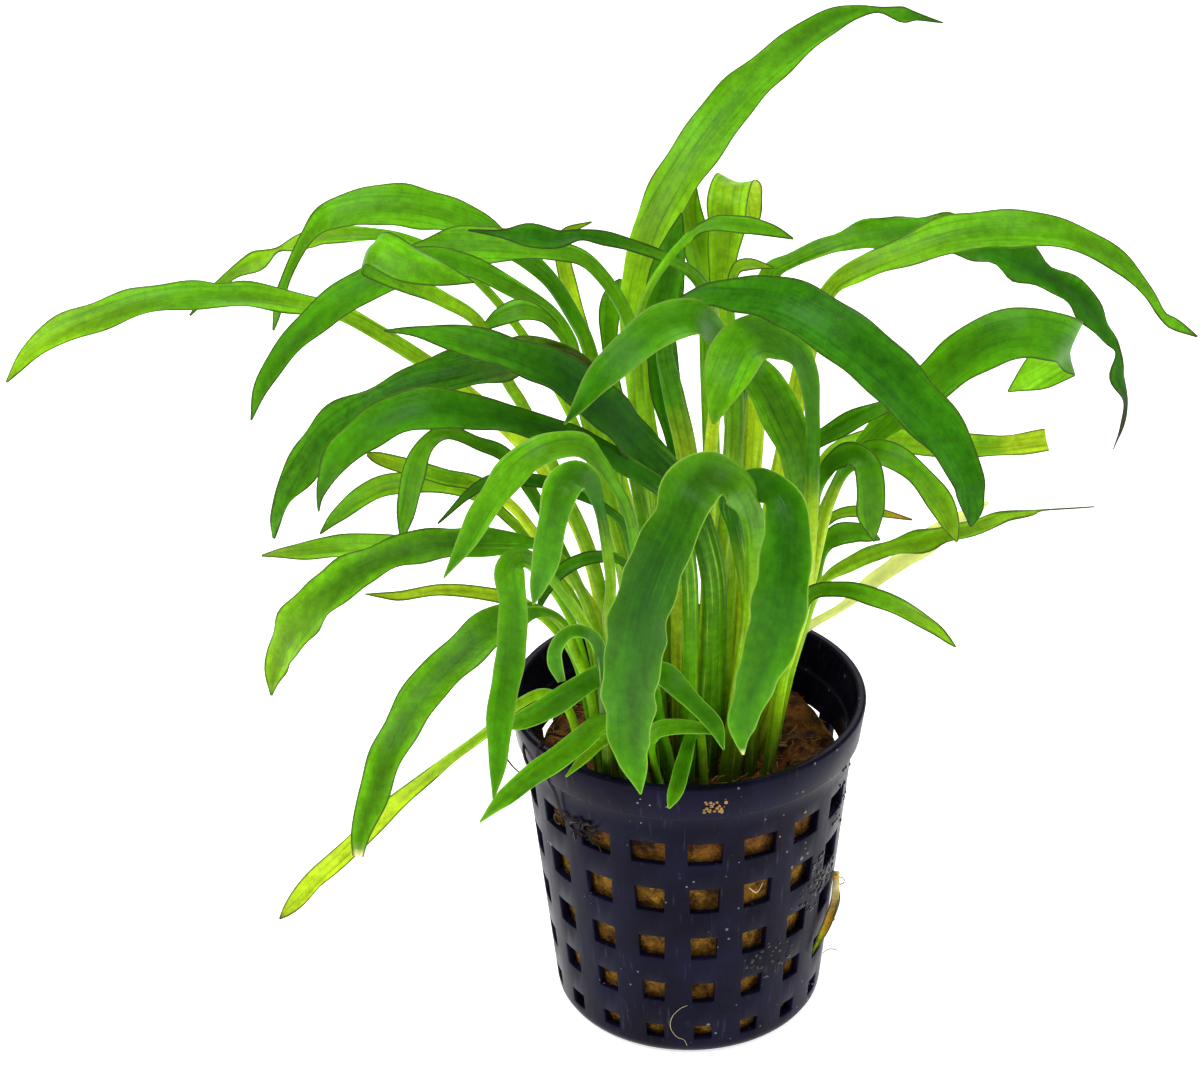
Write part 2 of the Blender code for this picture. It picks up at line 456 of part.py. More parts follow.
def front_leaves(where):
    """Leaves that hang forward over the rim, from left to right."""
    leaf("front_leaf_left", (-9.5, 13.8),
         [(-12.3, 57, 16.5), (-16, 67, 19), (-21, 75, 21.5), (-24.5, 77.9, 23.5), (-26.6, 76, 25.2),
          (-26.4, 70.5, 26.8), (-26.8, 63, 28.6), (-28, 57.1, 30), (-28.9, 51.6, 31.5), (-29.6, 45, 33),
          (-30.5, 34.8, 34.5)],
         5.2, 5, MID_GREEN, where, tilt=5)
    leaf("front_leaf_arched", (-7, 11.6),
         [(-10, 57, 14), (-12, 65.5, 16.5), (-11.5, 73, 18), (-12.1, 80, 19.5), (-13, 86, 20.5),
          (-14.2, 90, 22), (-16.3, 91.6, 24), (-18.4, 89.5, 26.2), (-19.8, 84.4, 27.6),
          (-21.2, 77.5, 29), (-23.3, 69.8, 29)],
         5.2, 7, MID_GREEN, where, tilt=10)
    leaf("front_leaf_high", (-3, 13),
         [(-5.5, 58, 15), (-7, 70, 17), (-7.8, 80, 18), (-9, 86.2, 19), (-10.8, 90.2, 19.5),
          (-13, 94, 20), (-16, 96.6, 21), (-20.9, 95.9, 22), (-25.6, 92.4, 22.5), (-29.6, 86.7, 23),
          (-32.2, 82, 23.5), (-36.6, 74.7, 24)],
         4.6, 6, MID_GREEN, where, tilt=25)
    leaf("front_leaf_dark_arch", (-5, 10),
         [(-6, 62, 10.8), (-7, 72, 12), (-9.3, 76.6, 13), (-12, 77.8, 13.5), (-15.5, 77.4, 14.5),
          (-19, 75.4, 15), (-21.5, 71.6, 15.5), (-22.9, 67.9, 16)],
         2.1, 4, DARK_GREEN, where, stem=1.3, tilt=10)
    leaf("front_leaf_loop", (-12.2, 16.6),
         [(-12.7, 50, 20.5), (-12.9, 58, 24.5), (-13.8, 63, 26.5), (-15.9, 64.9, 27.5),
          (-18.2, 64.6, 28), (-19.9, 62.2, 28), (-20.2, 59.4, 28), (-19.3, 56.2, 28)],
         1.9, 3, YELLOW_GREEN, where, stem=1.2, tilt=10)
    leaf("front_leaf_low_1", (-6.2, 14.4),
         [(-9, 50, 17), (-11.3, 56.4, 19.5), (-13, 57.4, 20.5), (-16, 55.3, 22), (-19.6, 52.8, 23),
          (-23.3, 50.3, 24), (-26.9, 48.6, 24.5)],
         3.4, 3, MID_GREEN, where, stem=1.4, tilt=15)
    leaf("front_leaf_low_2", (-6.5, 17.7),
         [(-8, 45.5, 19.7), (-10.5, 49.3, 21.5), (-13.4, 48.9, 23.5), (-16.8, 45.6, 25.5),
          (-22.1, 41, 28), (-27.7, 36, 30), (-32.7, 30.5, 31)],
         3.1, 3, MID_GREEN, where, stem=1.4, tilt=20)
    leaf("front_leaf_low_3", (-10, 17.3),
         [(-10.3, 42, 18.8), (-11.4, 45.2, 20.8), (-13.4, 45.5, 23.2), (-16, 42.6, 25.8), (-19, 38.8, 28)],
         1.4, 3, MID_GREEN, where, stem=1.1, tilt=10)
    leaf("front_leaf_low_4", (-1.7, 14.6),
         [(-4.5, 50, 17), (-5.4, 55.8, 19), (-4, 57.4, 21), (-1.7, 54.9, 24), (1.4, 51, 27),
          (4, 47.2, 29.5), (5.4, 43.1, 31)],
         3.6, 3, MID_GREEN, where, stem=1.4, tilt=15)
    leaf("front_leaf_low_5", (-3.5, 18.5),
         [(-5.6, 43, 21), (-4.9, 46.3, 23.5), (-0.9, 47.8, 26), (3.3, 47, 28), (5.6, 45.6, 28.5)],
         2.3, 2, MID_GREEN, where, stem=1.2, tilt=15)
    leaf("front_leaf_low_6", (2, 15.5),
         [(2.2, 44, 18), (1.6, 47, 20.5), (0.6, 45.6, 23), (-1, 41.2, 27.5), (-2, 36.9, 30.5),
          (-3, 32.5, 33)],
         2.9, 3, MID_GREEN, where, stem=1.6, tilt=5, tip=1.6)
    leaf("front_leaf_large", (6, 9),
         [(8.5, 56, 10.5), (9.8, 66, 12.5), (10.2, 74, 15), (10.2, 81, 17.5), (8.9, 86.3, 20),
          (6.3, 89.9, 22.5), (3, 90.9, 25), (-0.1, 88.4, 27.5), (-2.2, 83, 29.5), (-4.7, 76, 31.5),
          (-6.6, 68.5, 33), (-7.9, 61, 34), (-8.5, 54, 34.5), (-8.7, 47, 34.5), (-8.4, 41, 34.5),
          (-7.4, 35.2, 34.5)],
         8.5, 6, MID_GREEN, where, stem=2.4, tilt=20)
    leaf("front_leaf_right", (9.2, 8),
         [(12, 58, 9), (13.5, 72, 10.5), (13.4, 84, 12.5), (12.9, 90.2, 16), (14, 87.4, 20.5),
          (14.5, 79.5, 25), (13.7, 71, 28), (12, 63.3, 30.5), (9.9, 55.7, 32.5), (8, 48.8, 34),
          (8.4, 42.6, 34.5)],
         7.6, 5, MID_GREEN, where, stem=2.2, tilt=10, tip=1.6)
    leaf("front_leaf_high_left", (2, 4),
         [(3.5, 75, 6), (5, 95, 7.5), (5.5, 107, 8.5), (4.6, 113.6, 10.5), (1.6, 116.4, 13),
          (-2.6, 115.8, 15), (-7.4, 112.6, 17), (-12, 107.8, 18.5), (-17.9, 100.1, 19.5)],
         5.2, 4, MID_GREEN, where, tilt=25)
    leaf("front_leaf_high_right", (9.6, 4.5),
         [(14.5, 57, 7.5), (17.4, 68, 9.5), (18.2, 78, 11), (18.5, 91.8, 11.5), (18.2, 103, 11.5),
          (16.9, 109.2, 11.8), (14.4, 112.4, 12.3), (11.2, 113.4, 13.3), (8.1, 111.8, 15), (5.9, 107.3, 17.3),
          (3.9, 99.6, 19.5)],
         7.3, 5, MID_GREEN, where, stem=2.2, tilt=20)
    leaf("front_leaf_dark", (4.5, 0.5),
         [(6, 75, 2), (6.8, 95, 3.5), (7.4, 104.5, 5), (8.8, 108.3, 6.5), (11.3, 106, 8),
          (13.8, 100.5, 8.5), (16, 93.5, 8.5), (17.6, 82.6, 7.5)],
         6.0, 4, DARK_GREEN, where, tilt=15)


def right_leaves(where):
    """Leaves that reach out to the right, from the highest to the lowest."""
    leaf("right_leaf_short", (-4, 0.5),
         [(-5.5, 80, 1), (-8, 104, 2), (-7.2, 114, 3.5), (-5.8, 120.4, 4.5), (-2.2, 126.4, 5),
          (1.2, 129.9, 5), (5, 131.5, 5), (9.5, 130.9, 5), (15.2, 128.7, 5)],
         3.3, 5, MID_GREEN, where, stem=1.2, tilt=25)
    leaf("right_leaf_thread_tip", (7, -5.5),
         [(8.5, 75, -7), (10, 100, -8), (10.3, 115, -8), (11.8, 123, -8), (15, 125.4, -8),
          (20.5, 127.9, -8), (27, 129.6, -8), (34, 129.6, -8), (40, 127.8, -8), (46, 125.2, -7.5),
          (51.8, 121.7, -7), (56.8, 118, -6.5), (60.4, 113.2, -6), (62.6, 106, -6), (62.7, 94.2, -6)],
         4.9, 6, MID_GREEN, where, stem=2.2, tilt=30, tip=0.4)
    leaf("right_leaf_high", (6.8, -2.5),
         [(10, 70, -3), (14.5, 95, -3), (18, 114, -2), (20.8, 121, -1.5), (25.7, 124, -1),
          (31, 126.3, -1), (37.5, 128.4, -1), (44, 129.5, -1), (50, 129.3, -0.5), (56, 127.6, 0),
          (61.5, 124.1, 0.5), (66, 119.3, 1), (68.8, 115.6, 1.5), (73.8, 112.4, 2)],
         5.8, 4, MID_GREEN, where, stem=2.8, tilt=30)
    leaf("right_leaf_large_dark", (-1, 4.5),
         [(-2, 75, 5.5), (-2.8, 100, 6.5), (-3.2, 112, 7.5), (-1.6, 117.6, 8.5), (2.2, 120.2, 10.2),
          (7.5, 120.8, 12.6), (12.5, 119.6, 15), (17.5, 116.9, 17), (23, 112.8, 18.8), (28.5, 108, 20.3),
          (33.5, 102.3, 21.8), (37.5, 96.4, 23), (40.8, 90, 25), (42.3, 81.7, 26.5)],
         7.8, 5, DARK_GREEN, where, stem=2.6, tilt=10)
    leaf("right_leaf_curled", (9.5, -2),
         [(13, 58, -1.5), (17, 76, -1), (22, 89.5, 0), (25.4, 95.2, 1), (30, 100.2, 1.5),
          (35, 105.2, 2), (40, 110, 2.5), (44.6, 112.9, 3), (49.5, 114, 3.4), (52.8, 113.2, 3),
          (54.6, 111.6, 0.8), (52.4, 109, -1.6), (47.2, 105, -2.6)],
         8.0, 5, MID_GREEN, where, stem=1.4, tilt=5, fold=10)
    leaf("right_leaf_hidden", (7.6, 1.2),
         [(11, 62, 1.2), (13.5, 80, 1.5), (15.3, 90, 2), (17.8, 95.3, 2.5), (22.8, 98.8, 3),
          (27.9, 101.4, 3.5), (32, 102.8, 4)],
         3.0, 4, DARK_GREEN, where, stem=1.4, tilt=20)
    leaf("right_leaf_cut", (10.6, -5),
         [(14, 60, -5), (17, 78, -5), (18.8, 89, -4.5), (21, 94, -4), (25, 95.9, -4), (31, 96.2, -4),
          (38, 95.4, -4), (45, 95, -4.5), (52.9, 95.8, -5)],
         4.2, 4, YELLOW_GREEN, where, stem=1.6, tilt=25, tip=3.0)
    leaf("right_leaf_hanging_1", (12, 2.6),
         [(15.3, 57, 3.5), (18, 70, 4.5), (19.3, 79, 5.5), (21.8, 85, 6.5), (24.4, 90.5, 8.5),
          (26, 94, 11), (27.2, 92.4, 14), (27.4, 87.7, 15.5), (28, 79.5, 16)],
         4.2, 6, MID_GREEN, where, stem=1.6, tilt=10)
    leaf("right_leaf_hanging_2", (12, -0.5),
         [(15.5, 57, 0.3), (18.5, 72, 1.5), (20.3, 82, 3), (21.5, 87, 4), (23.5, 91.5, 5),
          (26.5, 94.2, 7), (29.8, 94, 8.5), (33.8, 90.9, 10), (37.3, 86.2, 11), (40.4, 79.2, 12)],
         4.2, 6, MID_GREEN, where, stem=1.5, tilt=25)
    leaf("right_leaf_fine_tip", (12.4, 5.8),
         [(15.5, 56, 6), (18.4, 68, 6), (20.8, 73.3, 6), (23.8, 75.7, 6.5), (28.5, 78, 7),
          (34.5, 79.5, 7.5), (41.2, 81.1, 8), (48, 83.3, 8), (53, 84.3, 8.5), (60.6, 84.7, 9)],
         3.4, 4, MID_GREEN, where, stem=1.5, tilt=25)
    leaf("right_leaf_pale", (12, -8.5),
         [(14, 56, -8), (17, 63.7, -8), (23.5, 68.4, -9), (27.3, 72, -10), (31.7, 75.8, -11),
          (36.5, 79.4, -12), (40.7, 82.8, -13), (44.8, 85.8, -14)],
         3.3, 3, PALE_YELLOW, where, stem=1.4, tilt=20)
    leaf("right_leaf_lowest", (11.6, 9.5),
         [(14.6, 56, 11), (16.5, 65, 13), (18.6, 70.5, 15.5), (23.5, 71.7, 17.5), (28.6, 70.2, 19.5),
          (33.8, 67.3, 21.5), (37.6, 64.4, 22.5), (40.9, 60.8, 23.5)],
         2.9, 3, MID_GREEN, where, stem=1.8, tilt=20)
    leaf("right_leaf_orange", (9.3, -7.8),
         [(12.5, 62, -7.5), (17.5, 77, -7.5), (21.5, 83.6, -7.5), (27, 84.6, -7.5), (33.6, 83.1, -7.5)],
         1.8, 3, YELLOW_GREEN, where, stem=1.2, tilt=20)
    leaf("right_leaf_small", (12.9, -3.3),
         [(16, 58, -3.3), (19, 70, -3), (20.4, 77.6, -2.5), (22.3, 81, -2), (25.3, 81.4, -2),
          (28.9, 79.8, -2)],
         3.1, 4, MID_GREEN, where, stem=1.3, tilt=20)


clear_scene()
parts = collection("potted_cryptocoryne")
cutters = collection("cutters")
pot(parts, cutters)
wool_plug(parts)
back_leaves(parts)
left_leaves(parts)
front_leaves(parts)
right_leaves(parts)
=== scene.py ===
# Potted cryptocoryne, an aquarium plant in a small net pot: its looks, piece by piece.
# The frame is in metres, with the origin under the middle of the pot, +Z up and the front at -Y.
# Sizes in this script are in millimetres and are turned to metres by MM.

import json
import math
import random
from bisect import bisect_left

import bmesh
import bpy
from mathutils import Matrix, Quaternion, Vector, noise


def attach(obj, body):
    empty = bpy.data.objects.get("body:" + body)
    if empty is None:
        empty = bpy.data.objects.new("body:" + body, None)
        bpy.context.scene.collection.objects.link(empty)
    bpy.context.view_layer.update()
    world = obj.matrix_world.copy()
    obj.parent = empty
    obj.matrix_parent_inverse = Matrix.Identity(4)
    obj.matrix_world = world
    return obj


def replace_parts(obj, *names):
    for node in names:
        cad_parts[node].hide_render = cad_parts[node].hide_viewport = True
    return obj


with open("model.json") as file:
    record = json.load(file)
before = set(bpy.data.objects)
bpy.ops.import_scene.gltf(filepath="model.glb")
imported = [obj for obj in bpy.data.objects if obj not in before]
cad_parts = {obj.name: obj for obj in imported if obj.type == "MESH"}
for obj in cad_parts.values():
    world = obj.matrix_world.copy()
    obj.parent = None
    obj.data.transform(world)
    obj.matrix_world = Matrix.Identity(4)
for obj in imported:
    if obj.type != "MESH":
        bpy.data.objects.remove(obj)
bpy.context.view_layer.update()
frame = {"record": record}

# Studio
# A pale floor under soft light, seen from the front and above, with the plant filling the frame.
MM = 0.001
EYE = Vector((-13.0, -395.0, 296.0))
AIM = Vector((-13.0, 0.0, 81.2))
ROLL = math.radians(-1.1)
LENS = 90.36
SENSOR = 36.0
NEAREST = 10.0
WHITE = (1.0, 1.0, 1.0, 1.0)
ROOM_LIGHT = 0.45
LAMP_SIDE = 620.0
LAMP_AIM = Vector((0, 0, 70))
FLOOR_SIDE = 6000.0
FLOOR_GLOW = 0.7


def linear(colour):
    """Linear RGBA of an sRGB hex colour such as #3f8a12."""
    parts = [int(colour[i:i + 2], 16) / 255 for i in (1, 3, 5)]
    return (*[p / 12.92 if p <= 0.04045 else ((p + 0.055) / 1.055) ** 2.4 for p in parts], 1.0)


def feed(node, inputs):
    """Sets each named input of a node to a value, or links it to a socket."""
    for name, value in inputs.items():
        if isinstance(value, bpy.types.NodeSocket):
            node.id_data.links.new(value, node.inputs[name])
        else:
            node.inputs[name].default_value = value


def new_material(name):
    """A material with an empty tree but for its Principled shader. Returns material, tree and shader."""
    made = bpy.data.materials.new(name)
    made.use_nodes = True
    return made, made.node_tree, made.node_tree.nodes["Principled BSDF"]


def mesh_object(name, shape, finish, smooth_angle=40.0):
    """Makes an object at the origin from a bmesh, in metres, shaded smooth but for its sharp edges."""
    mesh = bpy.data.meshes.new(name)
    shape.to_mesh(mesh)
    shape.free()
    mesh.materials.append(finish)
    mesh.shade_smooth()
    mesh.set_sharp_from_angle(angle=math.radians(smooth_angle))
    made = bpy.data.objects.new(name, mesh)
    bpy.context.scene.collection.objects.link(made)
    return made


camera = bpy.data.objects.new("camera", bpy.data.cameras.new("camera"))
bpy.context.scene.collection.objects.link(camera)
camera.data.lens = LENS
camera.data.sensor_width = SENSOR
camera.data.sensor_fit = "HORIZONTAL"
camera.data.clip_start = NEAREST * MM
camera.location = EYE * MM
camera.rotation_mode = "QUATERNION"
camera.rotation_quaternion = (AIM - EYE).to_track_quat("-Z", "Y") @ Quaternion((0, 0, 1), ROLL)
bpy.context.scene.camera = camera

world = bpy.data.worlds.new("white room")
world.use_nodes = True
feed(world.node_tree.nodes["Background"], {"Color": WHITE, "Strength": ROOM_LIGHT})
bpy.context.scene.world = world
bpy.context.scene.view_settings.view_transform = "Standard"

for name, place, watts in (
    ("soft key", (-420.0, -420.0, 1080.0), 12.0),
    ("soft fill", (800.0, -420.0, 700.0), 3.0),
    ("soft back", (100.0, 900.0, 800.0), 4.0),
):
    lamp = bpy.data.objects.new(name, bpy.data.lights.new(name, "AREA"))
    bpy.context.scene.collection.objects.link(lamp)
    lamp.data.size = LAMP_SIDE * MM
    lamp.data.energy = watts
    lamp.location = Vector(place) * MM
    lamp.rotation_mode = "QUATERNION"
    lamp.rotation_quaternion = (LAMP_AIM - Vector(place)).to_track_quat("-Z", "Y")

floor_shape = bmesh.new()
bmesh.ops.create_grid(floor_shape, x_segments=2, y_segments=2, size=FLOOR_SIDE / 2 * MM)
# White paper: matt, and faintly lit from within so that it stays as white as the photograph's ground.
floor_finish, tree, shader = new_material("white paper")
feed(shader, {"Base Color": linear("#fbfbfb"), "Roughness": 0.9, "Specular IOR Level": 0.0,
              "Emission Color": WHITE, "Emission Strength": FLOOR_GLOW})
mesh_object("floor", floor_shape, floor_finish)

# Pot
# A net pot, moulded in one piece from black plastic with a blue cast. Its tapered wall has five rows of
# square holes, a stepped collar stiffens its mouth, and its floor is flat. It is damp, scuffed and dusty.
BASE_RADIUS = 20.9
WALL_TOP_RADIUS = 25.7
COLLAR_FOOT = 48.0
WALL = 1.2
COLUMNS = 18
HOLE_TURN = 4.0
HOLES = [(4.9, 2.8, 2.7), (13.1, 3.5, 3.8), (22.1, 4.0, 4.3), (31.5, 4.5, 4.6), (40.6, 5.4, 4.0)]
HOLE_EDGE = 0.16
SHARP_FROM = math.radians(55)
UNDERSIDE = [(0.0, 0.0), (10.0, 0.0), (18.4, 0.0), (19.6, 0.25), (20.5, 0.9), (21.0, 1.7)]
WALL_FOOT = 2.4
WALL_HEAD = 45.0
COLLAR = [(25.68, 47.3), (25.9, 47.7), (26.5, 47.9), (26.65, 48.2), (27.05, 51.0), (27.4, 53.5),
          (27.3, 53.85), (27.0, 54.0), (26.3, 54.0), (26.02, 53.8), (25.9, 53.3), (25.1, 48.3),
          (24.9, 48.0), (24.55, 47.9)]
FLOOR_INSIDE = [(19.9, 2.2), (19.3, 1.6), (10.0, 1.5), (0.0, 1.5)]
# The wall is a grid of cells: six upright lines to a column, and a cell's number is its row times ROW plus
# its place in the row. The holes are the second to fourth cells of a column.
LINES = 6
ROW = 1000
HOLE_CELLS = (1, 2, 3)
WELD = 0.01


def wall_radius(height):
    """Outer radius of the pot's tapered wall at a height."""
    return BASE_RADIUS + (WALL_TOP_RADIUS - BASE_RADIUS) * height / COLLAR_FOOT


def hole_half_angle(height):
    """Half the angle that a hole takes at a height, in degrees, between the rows as well."""
    angles = [(middle, math.degrees(math.asin(wide / 2 / wall_radius(middle))))
              for middle, wide, tall in HOLES]
    for (low, narrow), (high, broad) in zip(angles, angles[1:]):
        if height < high:
            return narrow + (broad - narrow) * max(height - low, 0.0) / (high - low)
    return angles[-1][1]


def column_angle(line, height):
    """Angle of one of the wall's upright lines: six to a column, four of them over its hole."""
    half = hole_half_angle(height)
    rib = (360.0 / COLUMNS - 2 * half) / 3
    offset = (-half - rib, -half, -half / 3, half / 3, half, half + rib)[line % LINES]
    return math.radians((line // LINES) * 360.0 / COLUMNS + offset + HOLE_TURN - 90.0)


def wrapped(shape, profile, lines, angle):
    """Wraps a grid round Z: its rows follow a profile of (radius, height), its columns the angles of lines.
    Each face keeps its row and column in the layer called cell."""
    rows = len(profile) - 1
    bmesh.ops.create_grid(shape, x_segments=lines, y_segments=rows, size=0.5)
    cell = shape.faces.layers.int.new("cell")
    for face in shape.faces:
        middle = face.calc_center_median()
        face[cell] = int((middle.y + 0.5) * rows) * ROW + int((middle.x + 0.5) * lines)
    for vert in shape.verts:
        radius, height = profile[round((vert.co.y + 0.5) * rows)]
        turn = angle(round((vert.co.x + 0.5) * lines), height)
        vert.co = Vector((radius * math.cos(turn), radius * math.sin(turn), height)) * MM
    bmesh.ops.remove_doubles(shape, verts=shape.verts, dist=WELD * MM)
    bmesh.ops.recalc_face_normals(shape, faces=shape.faces)
    return cell


def piece(name, shape, finish, smooth_angle):
    """A piece of the plant or its pot, made from a bmesh. It rides on root and has a material slot."""
    made = mesh_object(name, shape, finish, smooth_angle)
    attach(made, "root")
    return made


hole_levels = sorted(middle + side * tall / 2 for middle, wide, tall in HOLES for side in (-1, 1))
wall_levels = [WALL_FOOT] + hole_levels + [WALL_HEAD]
outer_wall = [(wall_radius(level), level) for level in wall_levels]
inner_wall = [(wall_radius(level) - WALL, level) for level in reversed(wall_levels)]
pot_shape = bmesh.new()
pot_cell = wrapped(pot_shape, UNDERSIDE + outer_wall + COLLAR + inner_wall + FLOOR_INSIDE, COLUMNS * LINES,
                   column_angle)

# Each hole: its cells of the outer and the inner wall are cut out, and a band bridges the two openings
by_cell = {face[pot_cell]: face for face in pot_shape.faces}
first_outer = len(UNDERSIDE) + 1
last_inner = len(UNDERSIDE) + len(outer_wall) + len(COLLAR) + len(inner_wall) - 3
hole_faces = [[by_cell[row * ROW + column * LINES + cell] for cell in HOLE_CELLS
               for row in (first_outer + 2 * level, last_inner - 2 * level)]
              for level in range(len(HOLES)) for column in range(COLUMNS)]
hole_verts = [{vert for face in faces for vert in face.verts} for faces in hole_faces]
bmesh.ops.delete(pot_shape, geom=[face for faces in hole_faces for face in faces], context="FACES")
for verts in hole_verts:
    ring = {edge for vert in verts if vert.is_valid for edge in vert.link_edges if edge.is_boundary}
    bmesh.ops.bridge_loops(pot_shape, edges=list(ring))
bmesh.ops.recalc_face_normals(pot_shape, faces=pot_shape.faces)
sharp = [edge for edge in pot_shape.edges if edge.is_manifold and edge.calc_face_angle() > SHARP_FROM]
bmesh.ops.bevel(pot_shape, geom=sharp, offset=HOLE_EDGE * MM, offset_type="OFFSET", segments=2, profile=0.5,
                affect="EDGES", material=-1, clamp_overlap=True)


def add(tree, kind, inputs=None, out=0, **settings):
    """Adds a shader node with its settings and inputs, and returns one of its output sockets."""
    made = tree.nodes.new("ShaderNode" + kind)
    for name, value in settings.items():
        setattr(made, name, value)
    feed(made, inputs or {})
    return made.outputs[out]


# A Mix node for colours: its inputs for the share and the two colours, and its settings and output
SHARE, TONE_A, TONE_B = 0, 6, 7
COLOURS = {"data_type": "RGBA", "out": 2}

# Black polypropylene, injection moulded: a smooth, slightly greasy gloss over navy black, with pale hairline
# scuffs that run up and down, dried specks of lime and a duller film in patches.
plastic, tree, shader = new_material("moulded black polypropylene")
place = add(tree, "TexCoord", out="Object")
# Scuffs are 0.7 mm apart and 11 mm long
scuff_run = add(tree, "Mapping", {"Vector": place, "Scale": (1400.0, 1400.0, 90.0)})
scuffs = add(tree, "TexNoise", {"Vector": scuff_run, "Scale": 1.0, "Detail": 3.0})
scuff_mask = add(tree, "MapRange", {"Value": scuffs, "From Min": 0.62, "From Max": 0.8})
scuffed = add(tree, "Math", {0: scuff_mask, 1: 0.22}, operation="MULTIPLY")
# The film lies in patches of about 12 mm
film = add(tree, "TexNoise", {"Vector": place, "Scale": 85.0, "Detail": 5.0, "Roughness": 0.65})
film_mask = add(tree, "MapRange", {"Value": film, "From Min": 0.42, "From Max": 0.7})
# Specks are up to 0.4 mm in radius, and lie in groups 8 mm apart
speck = add(tree, "TexVoronoi", {"Vector": place, "Scale": 620.0})
speck_where = add(tree, "TexNoise", {"Vector": place, "Scale": 130.0, "Detail": 2.0})
speck_size = add(tree, "MapRange", {"Value": speck_where, "From Min": 0.46, "From Max": 0.72, "To Max": 0.24})
speck_mask = add(tree, "Math", {0: speck, 1: speck_size}, operation="LESS_THAN")
speckled = add(tree, "Math", {0: speck_mask, 1: 0.5}, operation="MULTIPLY")
body = add(tree, "Mix", {SHARE: film_mask, TONE_A: linear("#090718"), TONE_B: linear("#13112a")}, **COLOURS)
body = add(tree, "Mix", {SHARE: scuffed, TONE_A: body, TONE_B: linear("#63657a")}, **COLOURS)
body = add(tree, "Mix", {SHARE: speckled, TONE_A: body, TONE_B: linear("#8d8e9c")}, **COLOURS)
gloss = add(tree, "MapRange", {"Value": film, "From Min": 0.3, "From Max": 0.7, "To Min": 0.22,
                               "To Max": 0.42})
ripple = add(tree, "Bump", {"Height": film, "Distance": 0.12 * MM, "Strength": 0.5})
feed(shader, {"Base Color": body, "Roughness": gloss, "Normal": ripple, "IOR": 1.49,
              "Specular IOR Level": 0.05})

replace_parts(piece("net_pot", pot_shape, plastic, 50.0), "pot")

# Rooting wool
# A plug of mineral wool that the young plant was rooted in, pushed into the pot and grown through with
# roots. It is damp, ochre to rust brown, lumpy on top, and it bulges a little behind the pot's holes.
WOOL_TOP = 43.6
WOOL_FOOT = 2.1
WOOL_RIM = 42.0
WOOL_SIDE_FOOT = 3.0
WOOL_LINES = 120
WOOL_GAP = 0.5
WOOL_LUMP = 1.5
WOOL_TUFT = 0.5
WOOL_BULGE = 0.35
# Middle of the painted shade on the wool's top, under the front leaves
WOOL_SHADE_SPOT = Vector((-3.0, -12.0, 43.6))
WOOL_MOUNDS = ((14.0, 10.0, 2.6), (-17.0, 5.0, 1.6), (18.0, -6.0, 0.8))
MOUND_SPREAD = 40.0
TUFT_SHIFT = Vector((9, 0, 0))

wool_top = [(float(radius), WOOL_TOP) for radius in range(0, 22)] + [(22.4, 43.3), (23.1, 42.6)]
wool_side = [(wall_radius(level) - WALL - WOOL_GAP, level) for level in range(41, 2, -2)]
wool_base = [(18.4, WOOL_FOOT), (12.0, WOOL_FOOT), (0.0, WOOL_FOOT)]
wool_shape = bmesh.new()
wrapped(wool_shape, wool_top + wool_side + wool_base, WOOL_LINES,
        lambda line, height: math.tau * line / WOOL_LINES)
for vert in wool_shape.verts:
    spot = vert.co / MM
    lump = noise.fractal(spot * 0.16, 0.9, 2.1, 4)
    tuft = noise.fractal(spot * 0.9 + TUFT_SHIFT, 0.8, 2.0, 3)
    if spot.z > WOOL_RIM:
        mound = sum(rise * math.exp(-((spot.x - x) ** 2 + (spot.y - y) ** 2) / MOUND_SPREAD)
                    for x, y, rise in WOOL_MOUNDS)
        vert.co.z += (WOOL_LUMP * lump + WOOL_TUFT * tuft + mound) * MM
    elif spot.z > WOOL_SIDE_FOOT:
        outward = Vector((spot.x, spot.y, 0.0)).normalized()
        vert.co += outward * min(WOOL_BULGE * lump + 0.25 * tuft, WOOL_BULGE) * MM

# Damp mineral wool: matt, matted fibres in ochre and rust with dark wet hollows between the strands.
# The real fibres are a few hundredths of a millimetre thick, so the pattern draws them at about 0.4 mm.
wool, tree, shader = new_material("damp mineral wool")
place = add(tree, "TexCoord", out="Object")
bend = add(tree, "TexNoise", {"Vector": place, "Scale": 160.0, "Detail": 3.0}, out="Color")
bent = add(tree, "Mix", {SHARE: 0.012, 4: place, 5: bend}, out=1, data_type="VECTOR")
strand_run = add(tree, "Mapping", {"Vector": bent, "Scale": (2600.0, 700.0, 1500.0)})
strands = add(tree, "TexNoise", {"Vector": strand_run, "Scale": 1.0, "Detail": 4.0, "Roughness": 0.7})
strand_tone = add(tree, "ValToRGB", {"Fac": strands})
stops = strand_tone.node.color_ramp.elements
for at, colour in ((0.3, "#2a1a08"), (0.5, "#9c7434"), (0.68, "#e8c070")):
    stops.new(at).color = linear(colour)
stops.remove(stops[0])
stops[-1].color = linear("#fff0b4")
# From 37 mm up the wool turns from ochre to a darker rust brown, over its top and behind the top row of
# holes, and both tones have dark patches 3 mm across
patches = add(tree, "TexNoise", {"Vector": place, "Scale": 330.0, "Detail": 5.0, "Roughness": 0.7})
patch_mask = add(tree, "MapRange", {"Value": patches, "From Min": 0.42, "From Max": 0.6})
height = add(tree, "SeparateXYZ", {0: place}, out="Z")
on_top = add(tree, "MapRange", {"Value": height, "From Min": 37 * MM, "From Max": 42 * MM})
side_tone = add(tree, "Mix", {SHARE: patch_mask, TONE_A: linear("#cfa83e"), TONE_B: linear("#5e3e12")},
                **COLOURS)
top_tone = add(tree, "Mix", {SHARE: patch_mask, TONE_A: linear("#b47e36"), TONE_B: linear("#3a2008")},
               **COLOURS)
layer = add(tree, "Mix", {SHARE: on_top, TONE_A: side_tone, TONE_B: top_tone}, **COLOURS)
